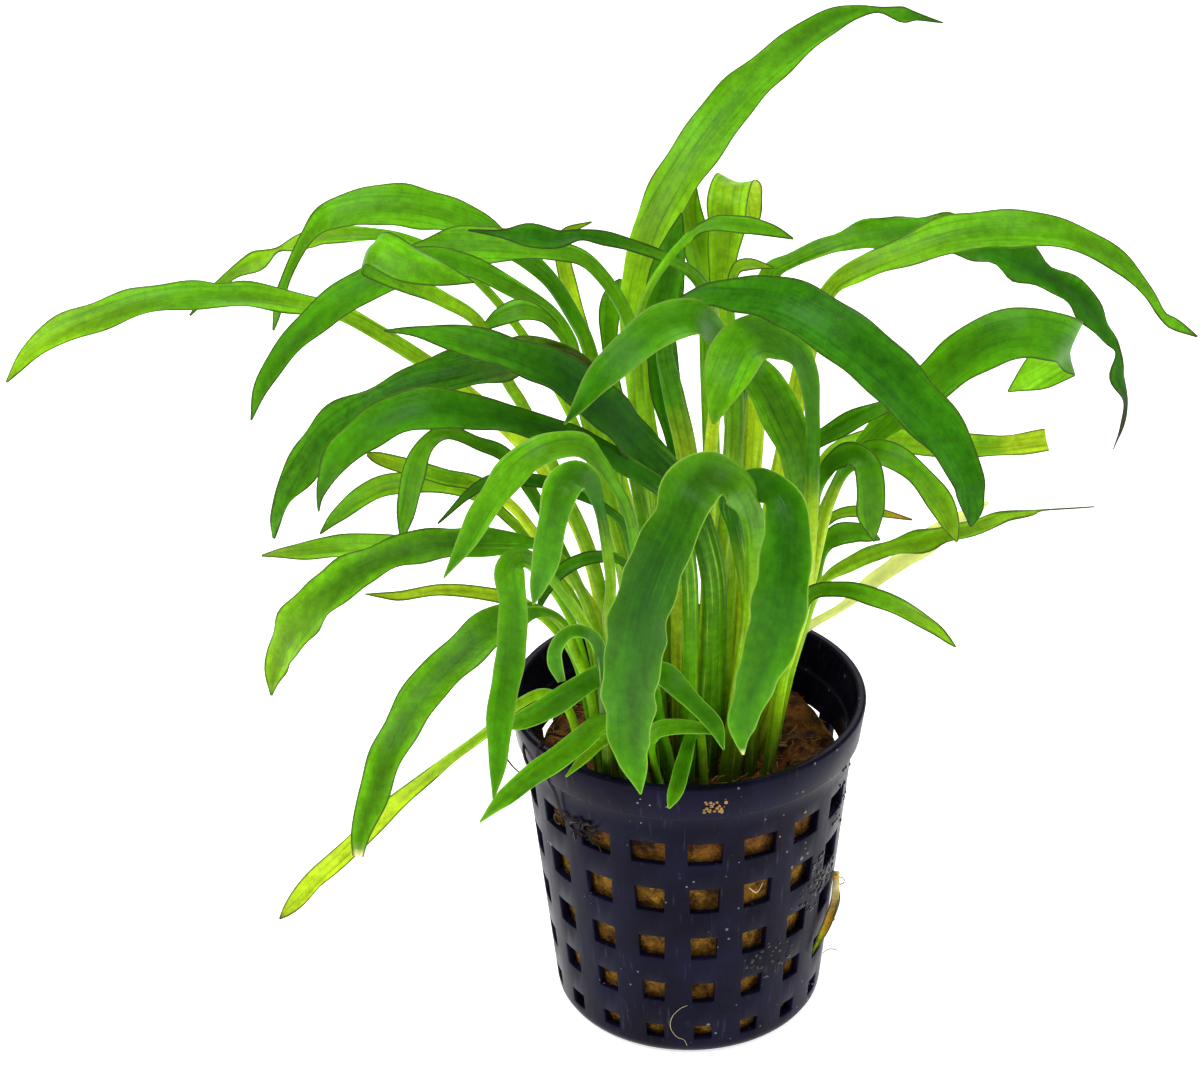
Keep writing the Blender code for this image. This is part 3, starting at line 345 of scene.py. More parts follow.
matted = add(tree, "Mix", {SHARE: 0.75, TONE_A: layer, TONE_B: strand_tone}, blend_type="MULTIPLY",
             **COLOURS)
# Painted shade: behind and under the front leaves, the wool is darkened almost to black around one spot
shade_distance = add(tree, "VectorMath", {0: place, 1: WOOL_SHADE_SPOT * MM}, out="Value", operation="DISTANCE")
painted_shade_mask = add(tree, "MapRange", {"Value": shade_distance, "From Min": 4 * MM, "From Max": 12 * MM,
                                     "To Min": 0.8, "To Max": 0.0})
wool_tone_with_shade = add(tree, "Mix", {SHARE: painted_shade_mask, TONE_A: matted, TONE_B: linear("#120a03")}, **COLOURS)
felt = add(tree, "Bump", {"Height": strands, "Distance": 0.6 * MM, "Strength": 1.0})
feed(shader, {"Base Color": wool_tone_with_shade, "Normal": felt, "Roughness": 0.9, "Specular IOR Level": 0.25})

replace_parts(piece("rooting_wool_plug", wool_shape, wool, 80.0), "wool_plug")

# Loose fibres
# Ends of the mineral wool that have pulled free and lie in short curls over its top. They are held only
# by the plug they came from, and the air has dried them.
FIBRES = 420
FIBRE_THICKNESS = 0.16
FIBRE_CURL = 0.35
FIBRE_SPREAD = 23.0
FIBRE_REACH = 24.0
THREAD_WELD = 0.002


def threads(name, routes, finish, ends=0.35):
    """Thin strands along routes of points in millimetres, each with its own thickness, as one mesh."""
    curve = bpy.data.curves.new(name, "CURVE")
    curve.dimensions = "3D"
    curve.bevel_depth = MM
    curve.bevel_resolution = 0
    curve.use_fill_caps = True
    for thickness, route in routes:
        strand = curve.splines.new("POLY")
        strand.points.add(len(route) - 1)
        for i, (point, spot) in enumerate(zip(strand.points, route)):
            point.co = (*(Vector(spot) * MM), 1.0)
            at_end = min(i, len(route) - 1 - i) / (len(route) - 1) * 2
            point.radius = thickness / 2 * (ends + (1 - ends) * at_end)
    drawn = bpy.data.objects.new(name, curve)
    bpy.context.scene.collection.objects.link(drawn)
    drawn_now = drawn.evaluated_get(bpy.context.evaluated_depsgraph_get())
    shape = bmesh.new()
    shape.from_mesh(bpy.data.meshes.new_from_object(drawn_now))
    bpy.data.objects.remove(drawn)
    bpy.data.curves.remove(curve)
    bmesh.ops.remove_doubles(shape, verts=shape.verts, dist=THREAD_WELD * MM)
    return piece(name, shape, finish, 80.0)


def wandering(start, heading, length, curl, draw, lift=0.0, steps=9):
    """A strand's route: it wanders by curl at each step and rises by lift in its middle."""
    route = [Vector(start)]
    ahead = Vector(heading).normalized()
    for i in range(steps):
        ahead = (ahead + Vector([draw.uniform(-curl, curl) for _ in range(3)])).normalized()
        route.append(route[-1] + ahead * length / steps)
    for i, spot in enumerate(route):
        spot.z += lift * math.sin(math.pi * i / steps)
    return route


def strand_material(name, scale, dark, light, roughness, specular=0.5):
    """A thin strand, whose tone changes along it from dark to light. The patches' scale is per metre."""
    made, tree, shader = new_material(name)
    place = add(tree, "TexCoord", out="Object")
    along = add(tree, "TexNoise", {"Vector": place, "Scale": scale})
    tone = add(tree, "Mix", {SHARE: along, TONE_A: linear(dark), TONE_B: linear(light)}, **COLOURS)
    feed(shader, {"Base Color": tone, "Roughness": roughness, "Specular IOR Level": specular})
    return made


draw = random.Random(7)
fibre_routes = []
for _ in range(FIBRES):
    turn = draw.uniform(0.0, math.tau)
    radius = FIBRE_SPREAD * math.sqrt(draw.random())
    start = Vector((radius * math.cos(turn), radius * math.sin(turn), WOOL_TOP + draw.uniform(-0.2, 0.9)))
    heading = Vector((draw.uniform(-1, 1), draw.uniform(-1, 1), draw.uniform(-0.15, 0.15)))
    route = wandering(start, heading, draw.uniform(2.5, 7.0), FIBRE_CURL, draw,
                      lift=draw.uniform(0.0, 0.8))
    if all(spot.xy.length < FIBRE_REACH for spot in route):
        fibre_routes.append((FIBRE_THICKNESS * draw.uniform(0.6, 1.3), route))

# Single strands of the same wool: drier than the plug, so paler and straw coloured, with a faint gloss.
straw = strand_material("dry wool strand", 220.0, "#4d2c0c", "#c89a48", 0.6)
threads("loose_wool_fibres", fibre_routes, straw)

# Leaves at the back
# Each leaf grew in one piece, a stalk that opens into a narrow ribbon with parallel veins. These rise from
# the far side of the crown and stand or arch over the others. The tallest ends in a twisted, dark tip.
CROWN = Vector((0.0, 0.0, 44.0))
FAN_REACH = 80.0
ROOT_HEIGHT = 44.3
ROOT_DEPTH = 1.6
# Named leaf tones in sRGB. The near-black brown one is painted shade for the leaves' feet on the wool.
TONES = {
    "deep": "#1b5400", "dark": "#2a6a00", "mid": "#438600", "fresh": "#5a9c04", "spring": "#8ccc1c",
    "lime": "#88ba10", "yellow": "#c0da24", "pale": "#fafa98", "sage": "#5c9430", "olive": "#4c6410",
    "brown": "#41460e", "straw": "#e6d79a", "orange": "#c9962c", "painted_shade": "#1f1a06", "wilted": "#3a3a34",
}
TONE = {name: Vector(linear(colour)) for name, colour in TONES.items()}
# The mesh: fine points to a span of the route, rings along the leaf, closer in bends, and lines across it
FINE = 14
RING_STEP = 1.25
BEND_WORTH = 5.0
LEAST_FACING = 0.4
HEADING_STEP = 0.6
SMOOTHINGS = 10
HALF_LINES = 11
LEAF_WELD = 0.001
# The section: a stalk's thickness as a share of its width, and the blade's at its margin and middle vein
STALK_ROUND = 0.42
STALK_THICKEST = 0.75
BLADE_EDGE = 0.16
BLADE_CORE = 0.34
BLADE_LEAST = 0.12
RIB_HALF = 0.42
GROOVE = 0.16
CHANNEL = 0.1
# A blade is open after a quarter of its length, and its margins ripple at a period between these
OPENING_PACE = 4
RIPPLE_PERIODS = (11.0, 17.0)
# How far the back takes the tone given for it, and how far it takes sage where none is given
UNDER_SHARE = 0.85
SAGE_SHARE = 0.2
# The foot on the wool is darkened with painted shade, a near-black brown, by this much and up to this length
FOOT_SHADE = 0.8
FOOT_REACH = 13.0


def in_space(across, up, front):
    """A point of a leaf's route: a point of the upright plane through the pot's axis, as it is seen from the
    front, brought forward along the line of sight. Leaves fan out, so the far ends come forward more."""
    drawn = Vector((across, 0.0, up))
    fan = 1 + min((drawn - CROWN).length / FAN_REACH, 1.0)
    return drawn.lerp(EYE, front * fan / -EYE.y)


def smooth_route(points):
    """Fine points on a smooth curve through points of (x, y, z, width), with the length run at each, and the
    effort, which is that length with the bends counted in."""
    ends = [points[0] * 2 - points[1]] + points + [points[-1] * 2 - points[-2]]
    fine = []
    for a, b, c, d in zip(ends, ends[1:], ends[2:], ends[3:]):
        for k in range(FINE):
            t = k / FINE
            fine.append(0.5 * ((2 * b) + (c - a) * t + (2 * a - 5 * b + 4 * c - d) * t * t
                               + (3 * b - a - 3 * c + d) * t * t * t))
    fine.append(points[-1])
    runs = [0.0]
    efforts = [0.0]
    heading = fine[1].xyz - fine[0].xyz
    for before, after in zip(fine, fine[1:]):
        stretch = after.xyz - before.xyz
        runs.append(runs[-1] + stretch.length)
        efforts.append(efforts[-1] + stretch.length + BEND_WORTH * stretch.angle(heading, 0.0))
        heading = stretch
    return fine, runs, efforts


def read_off(values, marks, mark):
    """The value at one mark of a rising list of marks, between the two values nearest to it."""
    i = min(max(bisect_left(marks, mark), 1), len(marks) - 1)
    share = (mark - marks[i - 1]) / max(marks[i] - marks[i - 1], 1e-9)
    return values[i - 1] + (values[i] - values[i - 1]) * min(max(share, 0.0), 1.0)


def across_directions(middles, aheads, first, last):
    """The direction across the leaf at each ring. From ring first to last the blade has its face to the
    front, except where it comes straight at it. The stalk and a doubled end don't twist."""
    sides = [None] * len(middles)
    for i in range(first, len(middles)):
        side = aheads[i].cross((EYE - middles[i]).normalized())
        before = sides[i - 1] if i > first else side
        if side.dot(before) < 0:
            side = -side
        if i > first and (side.length < LEAST_FACING or i > last):
            side = before - aheads[i] * before.dot(aheads[i])
        sides[i] = side.normalized()
    for i in reversed(range(first)):
        sides[i] = (sides[i + 1] - aheads[i] * sides[i + 1].dot(aheads[i])).normalized()
    for _ in range(SMOOTHINGS):
        sides = [sides[max(i - 1, 0)] + sides[i] * 2 + sides[min(i + 1, len(sides) - 1)]
                 for i in range(len(sides))]
        sides = [(side - ahead * side.dot(ahead)).normalized() for side, ahead in zip(sides, aheads)]
    return sides


def ease(value):
    """Rises smoothly from 0 to 1 as value does."""
    value = min(max(value, 0.0), 1.0)
    return value * value * (3 - 2 * value)


def leaf_tone(tones, run, opening, length, place, opened, core, tip):
    """Colour of a leaf at a length along it and a place across it, from -1 to 1: stalk, foot of the blade,
    middle and tip, with a darker middle band and lighter margins. The foot on the wool is darkened with
    painted shade."""
    if run < opening:
        tone = tones[0].lerp(tones[1], (run / opening) ** 5)
    elif run < (opening + length) / 2:
        tone = tones[1].lerp(tones[2], ease((run - opening) / (length - opening) * 2))
    else:
        tone = tones[2].lerp(tones[3], ease((run - opening) / (length - opening) * 2 - 1))
    band = core * opened
    tone = tone * (1 - band * (1 - abs(place) ** 1.5))
    tone = tone.lerp(TONE["lime"], band * 0.3 * place * place)
    # Painted shade: the foot near the wool darkens to a near-black brown
    if opening > 0:
        tone = tone.lerp(TONE["painted_shade"], FOOT_SHADE * (1 - ease(run / FOOT_REACH)))
    if tip:
        tone = tone.lerp(TONE[tip[0]], ease((run - length + tip[1]) / tip[1] * 2))
    return tone


def surface_height(t, top, half, wide, opened, stem, cup, ruffle):
    """Height of a leaf's upper or lower surface over its middle line at a place across it. A round stalk
    opens into a thin cupped blade, with a groove over the middle vein and margins that ruffle."""
    round_thick = min(STALK_ROUND * stem, STALK_THICKEST) * math.sqrt(max(1 - t * t, 0.0))
    round_thick *= min(wide / stem, 1.0)
    rib = math.exp(-(t * half / RIB_HALF) ** 2)
    flat_thick = (BLADE_EDGE + (BLADE_CORE - BLADE_EDGE) * rib) / 2 * math.sqrt(max(1 - t ** 8, 0.0))
    flat_thick *= min(wide / 1.5, 1.0)
    height = top * (round_thick * (1 - opened) + flat_thick * opened)
    height -= GROOVE * rib * opened * min(wide / 3.0, 1.0)
    height += cup * wide * abs(t) ** 1.6 * opened
    return height + ruffle * abs(t) ** 2.5 * opened * min(wide / 4.0, 1.0)


def grown(name, points, opens, tones, finish, slot, stem=1.7, tilt=0.0, fold=99, under="", core=0.25,
          wave=0.35, rim=0.0, tip=None, cup=CHANNEL):
    """A stalk and blade along points of (x, y, z, width) in millimetres. The blade opens from the point opens
    on, and tilts. From the blade point fold on, it doubles over without turning its face to the front. tones
    are those of stalk, foot, middle and tip, under is the tone of the back, core darkens the middle band,
    wave ruffles the margins, rim 1 makes them pale and 0 dark, tip is a tone for the last few millimetres,
    and cup is how far the margins rise, as a share of the width."""
    draw = random.Random(name)
    fine, runs, efforts = smooth_route(points)
    length = runs[-1]
    opening = runs[FINE * opens]
    fold_run = runs[min(FINE * (opens + fold), len(runs) - 1)]
    rings = round(efforts[-1] / RING_STEP)
    stops = [read_off(runs, efforts, efforts[-1] * i / rings) for i in range(rings + 1)]
    places = [read_off(fine, runs, run) for run in stops]
    middles = [place.xyz for place in places]
    aheads = [(read_off(fine, runs, run + HEADING_STEP).xyz
               - read_off(fine, runs, run - HEADING_STEP).xyz).normalized() for run in stops]
    first = sum(run < opening - 0.01 for run in stops)
    last = sum(run <= fold_run for run in stops)
    sides = across_directions(middles, aheads, first, last)
    colours = [TONE[tone] for tone in tones.split()]
    back = TONE[under or "sage"]
    back_share = UNDER_SHARE if under else SAGE_SHARE
    phases = [draw.uniform(0, math.tau) for _ in range(4)]
    period = draw.uniform(*RIPPLE_PERIODS)

    shape = bmesh.new()
    uv = shape.loops.layers.uv.new("blade")
    tint = shape.verts.layers.float_color.new("tint")
    margin = shape.verts.layers.float.new("margin")
    stalk_share = shape.verts.layers.float.new("stalk")
    pale_rim = shape.verts.layers.float.new("rim")
    bmesh.ops.create_grid(shape, x_segments=2 * HALF_LINES, y_segments=rings + 2, size=0.5)
    flat = {}
    for vert in shape.verts:
        line = round((vert.co.x + 0.5) * 2 * HALF_LINES)
        row = round((vert.co.y + 0.5) * (rings + 2))
        ring = min(max(row - 1, 0), rings)
        run, middle, ahead, across = stops[ring], middles[ring], aheads[ring], sides[ring]
        opened = ease((run - opening) / (length - opening) * OPENING_PACE)
        lean = math.radians(tilt) * opened
        edge = across * math.cos(lean) + ahead.cross(across) * math.sin(lean)
        wide = max(places[ring].w, BLADE_LEAST) * (1 - middle.y / EYE.y) / math.cos(lean)
        t = -math.cos(math.pi * line / HALF_LINES)
        top = 1.0 if line <= HALF_LINES else -1.0
        ripple = math.sin(run / period * math.tau + phases[0 if t > 0 else 1])
        scallop = math.sin(run / period * 1.7 * math.tau + phases[2 if t > 0 else 3])
        half = wide / 2 * (1 + (0.02 + 0.12 * wave * wave) * scallop * opened * t * t)
        height = surface_height(t, top, half, wide, opened, stem, cup, wave * ripple)
        if row in (0, rings + 2):
            half = 0.0
            height = 0.0
        spot = middle + edge * half * t + edge.cross(ahead) * height
        if ring == 0:
            spot -= ahead * ROOT_DEPTH
        vert.co = spot * MM
        tone = leaf_tone(colours, run, opening, length, t, opened, core, tip)
        vert[tint] = tone if top > 0 else tone.lerp(back, back_share * opened)
        vert[stalk_share] = 1 - opened
        vert[pale_rim] = rim
        vert[margin] = wide / 2 * (1 - abs(t)) + 3.0 * (1 - opened)
        flat[vert] = (half * t, run)
    for face in shape.faces:
        for loop in face.loops:
            loop[uv].uv = flat[loop.vert]
    bmesh.ops.remove_doubles(shape, verts=shape.verts, dist=LEAF_WELD * MM)
    bmesh.ops.recalc_face_normals(shape, faces=shape.faces)
    return piece(name, shape, finish, 75.0)


def leaf(node, root, stalk, blade, tones, stem=1.7, tilt=30.0, **looks):
    """A leaf from its root on the wool to its tip. root is (across, front), stalk holds (across, up, front)
    and blade holds (across, up, front, width seen from the front)."""
    points = [Vector((root[0], -root[1], ROOT_HEIGHT, stem))]
    points += [Vector((*in_space(*point), stem)) for point in stalk]
    points += [Vector((*in_space(*point[:3]), point[3])) for point in blade]
    tilt = tilt if blade[-1][0] < root[0] else -tilt
    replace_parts(grown(node + "_foliage", points, len(stalk), tones, leaf_finish[slot_of[node]],
                      slot_of[node], stem=stem, tilt=tilt, **looks), node)


def leaf_material(name, mottle, vein, gloss):
    """A leaf: its tint attribute gives the local colour, which mottle lightens and darkens in patches, and
    vein is the tone of the parallel veins."""
    made, tree, shader = new_material(name)
    place = add(tree, "TexCoord", out="Object")
    blade = add(tree, "UVMap", uv_map="blade")
    tint = add(tree, "Attribute", attribute_name="tint")
    margin, stalk_share, rim = [add(tree, "Attribute", out="Fac", attribute_name=name)
                                for name in ("margin", "stalk", "rim")]
    # Veins run along the blade, 0.5 mm apart
    vein_run = add(tree, "Mapping", {"Vector": blade, "Scale": (1 / 0.5, 1 / 26, 1.0)})
    veins = add(tree, "TexNoise", {"Vector": vein_run, "Scale": 1.0, "Detail": 2.0})
    vein_mask = add(tree, "MapRange", {"Value": veins, "From Min": 0.5, "From Max": 0.68, "To Max": 0.5})
    body = add(tree, "Mix", {SHARE: vein_mask, TONE_A: tint, TONE_B: linear(vein)}, **COLOURS)
    # A stalk has a few pale, thicker veins
    pale_vein = add(tree, "MapRange", {"Value": veins, "From Min": 0.42, "From Max": 0.3, "To Max": 0.65})
    pale_where = add(tree, "Math", {0: pale_vein, 1: stalk_share}, operation="MULTIPLY")
    body = add(tree, "Mix", {SHARE: pale_where, TONE_A: body, TONE_B: linear("#c6dc62")}, **COLOURS)
    # Cells mottle the blade in patches of about 1.5 mm and finer
    patches = add(tree, "TexNoise", {"Vector": place, "Scale": 1 / (1.5 * MM), "Detail": 5.0,
                                     "Roughness": 0.72})
    patch_gain = add(tree, "MapRange", {"Value": patches, "From Min": 0.35, "From Max": 0.68,
                                        "To Min": 1.0 - mottle, "To Max": 1.0 + mottle})
    body = add(tree, "VectorMath", {0: body, 1: patch_gain}, operation="MULTIPLY")
    # Painted highlight and shade: broad lighter and darker stretches along the blade, about 14 mm long
    broad_run = add(tree, "Mapping", {"Vector": blade, "Scale": (1 / 3.5, 1 / 14, 1.0)})
    broad = add(tree, "TexNoise", {"Vector": broad_run, "Scale": 1.0})
    painted_light_gain = add(tree, "MapRange", {"Value": broad, "From Min": 0.3, "From Max": 0.7, "To Min": 0.72,
                                   "To Max": 1.28})
    body = add(tree, "VectorMath", {0: body, 1: painted_light_gain}, operation="MULTIPLY")
    # The margin is a thin line, dried dark on most leaves and pale and thinner on those near the pot
    rim_tone = add(tree, "Mix", {SHARE: rim, TONE_A: linear("#2a2612"), TONE_B: linear("#8cb848")},
                   **COLOURS)
    rim_run = add(tree, "Math", {0: rim, 1: 0.16, 2: margin}, operation="MULTIPLY_ADD")
    rim_wide = add(tree, "MapRange", {"Value": broad, "From Min": 0.3, "From Max": 0.7, "To Min": 0.28,
                                      "To Max": 0.44})
    rim_mask = add(tree, "MapRange", {"Value": rim_run, "From Min": 0.12, "From Max": rim_wide,
                                      "To Min": 0.9, "To Max": 0.0})
    body = add(tree, "Mix", {SHARE: rim_mask, TONE_A: body, TONE_B: rim_tone}, **COLOURS)
    sheen = add(tree, "MapRange", {"Value": patches, "From Min": 0.35, "From Max": 0.65,
                                   "To Min": gloss - 0.06, "To Max": gloss + 0.08})
    relief = add(tree, "Math", {0: veins, 1: patches}, operation="ADD")
    bump = add(tree, "Bump", {"Height": relief, "Distance": 0.18 * MM, "Strength": 0.6})
    # Light passes a little way into the blade, red and green further than blue
    feed(shader, {"Base Color": body, "Roughness": sheen, "Normal": bump, "IOR": 1.42,
                  "Specular IOR Level": 0.12, "Subsurface Weight": 0.25,
                  "Subsurface Radius": (0.6, 1.0, 0.1), "Subsurface Scale": 0.6 * MM})
    return made


slot_of = {part["node"]: part["material_slot"] for part in frame["record"]["subparts"]}
# A living leaf's cuticle is waxy: satin, with soft broad highlights, and light passes through its thin
# blade. An ageing leaf mottles more, and a dying one is duller.
leaf_finish = {
    "green_leaf": leaf_material("living leaf, mid green", 0.2, "#2c6a0a", 0.38),
    "dark_leaf": leaf_material("living leaf, dark green", 0.25, "#124208", 0.36),
    "yellow_green_leaf": leaf_material("young leaf, yellow-green", 0.24, "#3f8208", 0.4),
    "brown_leaf": leaf_material("ageing leaf, brown-green", 0.3, "#242a08", 0.4),
    "pale_leaf": leaf_material("dying leaf, pale yellow", 0.1, "#dce070", 0.5),
}

leaf("back_leaf_tall", (-0.5, -7.5),
     [(-3.5, 80, -9), (-6.5, 102, -10), (-7.8, 116.4, -10.5)],
     [(-6.7, 124.2, -11, 4.5), (-4.7, 130.5, -12, 5.5), (-1.5, 136.8, -13.5, 6.3), (2.6, 143.6, -15.5, 6.5),
      (7.8, 150.4, -18, 5.9), (13.8, 156.2, -20.5, 4.6), (19.9, 160.6, -22.5, 3.5), (23.4, 162, -23.3, 2.0),
      (26.5, 162.2, -23.9, 0.9), (29.5, 161.3, -24.3, 2.2), (31.6, 161.1, -24.6, 1.2),
      (35.3, 160.2, -25, 0.2)],
     "lime lime fresh mid", stem=3.6, tilt=25, tip=("dark", 7))
leaf("back_leaf_folded", (3.5, -7.5),
     [(6.6, 74, -8), (7.4, 95, -8.3), (6, 110, -8.5)],
     [(5, 122, -9, 3.5), (5.7, 130, -9.5, 5.2), (5.9, 134.4, -9.8, 5.8), (6.5, 137.2, -11.3, 5.6),
      (8, 137, -13.6, 5.2), (8.9, 134.2, -14.8, 4.0), (9.3, 130.3, -15.2, 1.5)],
     "lime lime lime lime", stem=3.4, tilt=5, fold=2, under="yellow")
leaf("back_leaf_upright", (4.8, -11),
     [(4, 80, -12.5), (3.2, 110, -13)],
     [(2.9, 120, -14, 2.6), (1.8, 127, -15, 4.2), (0.6, 133, -16, 3.4), (1.2, 138.5, -17, 0.3)],
     "lime fresh lime lime", tilt=10, stem=2.6)
leaf("back_leaf_dark", (-1.2, -4.2),
     [(-0.6, 80, -5.5)],
     [(-0.9, 94, -5.8, 3.2), (-2.8, 105, -6, 4.6), (-3.8, 116, -6.5, 4.6), (-3.0, 121.3, -7, 5.4),
      (-1.9, 127, -7, 4.2), (-0.6, 133, -7, 0.3)],
     "lime dark dark mid", tilt=10, stem=3.0)
leaf("back_leaf_blade", (-5, -12),
     [(-6.5, 75, -14), (-11, 98, -15)],
     [(-14.3, 113, -16, 1.6), (-16.6, 121.4, -16, 2.4), (-17.6, 126.9, -16, 2.2), (-17, 130.3, -16, 1.5),
      (-13.3, 131.9, -16, 0.3)],
     "yellow lime yellow lime", stem=1.4, tilt=10)
leaf("back_leaf_rounded", (-2.2, -11),
     [(-4.2, 75, -12), (-8.5, 98, -13)],
     [(-11, 110, -13.5, 1.8), (-11, 118, -13.5, 3.2), (-10.4, 121.3, -13.5, 2.4), (-9.2, 122.9, -13, 0.8)],
     "lime fresh fresh fresh", stem=1.4, tilt=10)
leaf("back_leaf_low", (4.7, -4.9),
     [(6.5, 80, -5.5), (7, 105, -6.5), (6.3, 119, -6.3)],
     [(7, 123.9, -6.2, 1.6), (9, 124.9, -6, 1.8), (12.6, 124.3, -5.8, 0.3)],
     "lime fresh lime lime", stem=1.2, tilt=10)
leaf("back_leaf_arched", (-9, -6.3),
     [(-9.3, 75, -7), (-11, 95, -8), (-13.8, 111, -9), (-16.1, 117.2, -9)],
     [(-19.9, 123.7, -9, 2.4), (-25, 127.9, -9.5, 3.2), (-30, 131.6, -9.5, 4.2), (-36.5, 134, -9.5, 5.7),
      (-43.6, 134.7, -9.5, 5.8), (-49.6, 133.7, -9.5, 4.0), (-53.6, 130.3, -9.5, 2.2),
      (-56.6, 124.9, -9, 1.4), (-58.3, 120, -9, 1.6), (-59.4, 116, -9, 0.3)],
     "lime mid fresh fresh", stem=2.2)
leaf("back_leaf_curled", (-8, -9.6),
     [(-10, 75, -11), (-14.5, 95, -12.5), (-22, 112, -13.5), (-31, 124.5, -14), (-40, 130, -14.5)],
     [(-50, 130.6, -14.5, 2.6), (-53, 130, -14.5, 2.8), (-55.5, 129.3, -14.5, 2.2),
      (-58, 128.5, -14.5, 0.8), (-60.8, 126.8, -14.3, 2.9), (-64.3, 125.1, -14, 1.8),
      (-68, 122, -13.5, 1.2), (-71.2, 118.6, -13, 0.3)],
     "lime fresh lime fresh", stem=1.3, tilt=20)

# Leaves to the left
# The longest leaves of the plant reach out here. The weight of their ribbons arches them over, one has
# doubled back on itself, one is going brown along a crumpled margin, and the lowest are bleaching to lime.
leaf("left_leaf_longest", (-11, -3.5),
     [(-13, 70, -4), (-16.5, 84, -4.5), (-22.5, 95, -5), (-30.5, 104, -5.5), (-39, 111.5, -6)],
     [(-48.3, 117.8, -6, 2.4), (-55, 119.9, -6, 3.1), (-62, 121.2, -5.5, 3.7), (-66.5, 121.4, -5.2, 3.6),
      (-70, 121.6, -5, 4.4), (-75, 121.1, -4.8, 3.6), (-80, 120, -4.5, 4.5), (-85, 118.3, -4.1, 4.3),
      (-90.4, 116, -3.5, 3.9), (-95, 112.8, -2.8, 2.6), (-98.6, 108.6, -2, 0.3)],
     "yellow lime fresh lime", stem=2.4, tilt=40)
leaf("left_leaf_crossing", (-7.3, -1),
     [(-8.3, 70, -1.5), (-12, 92, -1), (-15.8, 109, -1), (-17, 114, -1)],
     [(-20, 118.5, -1, 2.1), (-26, 122.5, -1, 2.7), (-31, 125.3, -1, 3.4), (-36, 126.2, -0.5, 4.4),
      (-42, 124.3, 0, 5.2), (-49.6, 120.4, 0, 4.8), (-54.3, 116.2, 0, 3.8), (-58.6, 111.8, 0.5, 3.4),
      (-61.7, 107, 0.8, 2.2), (-63.6, 101.7, 1, 0.3)],
     "lime fresh mid mid", stem=2.0)
leaf("left_leaf_doubled", (-9.5, 2.5),
     [(-12.5, 70, 2), (-18.5, 90, 2), (-23.6, 102.6, 3), (-26, 107.3, 3.5), (-29.7, 116.4, 5)],
     [(-35, 120.5, 6, 2.3), (-39.7, 122.9, 7, 2.8), (-43, 125.6, 8, 5.0), (-45.2, 127.6, 9.6, 5.8),
      (-44, 128.6, 11.4, 6.0), (-40, 126.4, 12.5, 5.9), (-35, 124.5, 13, 3.8), (-30.2, 122.9, 13, 0.2)],
     "lime lime fresh fresh", stem=1.8, tilt=5, fold=3, under="fresh")
leaf("left_leaf_level", (-4.5, -3.8),
     [(-5.5, 80, -4.5), (-7, 104, -5), (-8, 115, -5), (-9.5, 119.5, -5)],
     [(-12, 123.5, -5, 2.0), (-15, 126.5, -5.5, 2.4), (-19.1, 127.6, -5.5, 3.0), (-25.5, 128.3, -5.5, 4.5),
      (-28, 128.5, -5.5, 5.4), (-31.4, 128.6, -5.5, 5.7), (-34, 128.6, -5.5, 4.4),
      (-36.5, 128.7, -5.5, 2.2), (-38.9, 128.8, -5.5, 0.3)],
     "lime fresh fresh fresh", tilt=25, stem=2.0)
leaf("left_leaf_small_arch", (-6.3, 2.7),
     [(-8.5, 70, 2.5), (-12.8, 90, 2.5), (-15.6, 104, 3), (-17.2, 112.2, 3.5)],
     [(-18.4, 114.8, 3.5, 1.2), (-20.5, 117.3, 3.5, 1.9), (-23.5, 118.5, 3.5, 3.2),
      (-26.3, 117.6, 3.5, 2.8), (-28.2, 116.4, 3.5, 1.6), (-29.7, 115.3, 3.5, 0.3)],
     "lime fresh fresh mid", stem=1.2, tilt=20)
leaf("left_leaf_twisted", (2.2, -3.5),
     [(3.2, 80, -3.8), (3.5, 95, -3.3), (4.6, 107, -2.8), (4, 116, -2), (2, 122.3, -1)],
     [(-2, 125.7, 0, 1.5), (-8.1, 128.3, 0.5, 1.9), (-12, 129.4, 0.8, 2.2), (-15, 129.9, 1, 1.7),
      (-18.3, 129.3, 1, 2.6), (-22.2, 130, 1, 3.7), (-26, 130.3, 1, 1.3), (-30.8, 131, 1, 0.3)],
     "yellow fresh dark dark", stem=2.0, tilt=10)
leaf("left_leaf_long_dark", (2.5, 7.5),
     [(4, 62, 8.5), (3.8, 75, 10), (1, 86, 11)],
     [(-2.1, 90.7, 11.5, 4.4), (-7.3, 96.8, 12.5, 5.6), (-12.8, 103.2, 14, 6.2), (-17.2, 107, 15, 6.3),
      (-21.7, 109.7, 16, 5.4), (-26.2, 111.7, 17, 4.9), (-32, 113.5, 17.5, 4.5), (-38, 115.2, 18, 2.0),
      (-43.5, 115.6, 19, 0.3)],
     "fresh dark deep mid", core=0.1, stem=4.0)
leaf("left_leaf_brown", (-4, 6.3),
     [(-5, 70, 6.8), (-7.5, 90, 7), (-10.8, 102, 7)],
     [(-14.3, 109.3, 7, 1.8), (-19.4, 112, 7, 2.6), (-26, 110.7, 7, 5.6), (-33.5, 108.6, 6.5, 5.5),
      (-39, 107.4, 6, 4.9), (-44, 105, 6, 4.6), (-49.5, 101.6, 6, 4.8), (-53.5, 98.4, 6, 5.6),
      (-57, 93.2, 6, 4.7), (-60, 87.5, 6, 2.3), (-61.3, 84.5, 6, 1.5), (-61.7, 82, 6, 0.5)],
     "fresh brown dark mid", wave=0.9, stem=1.9)
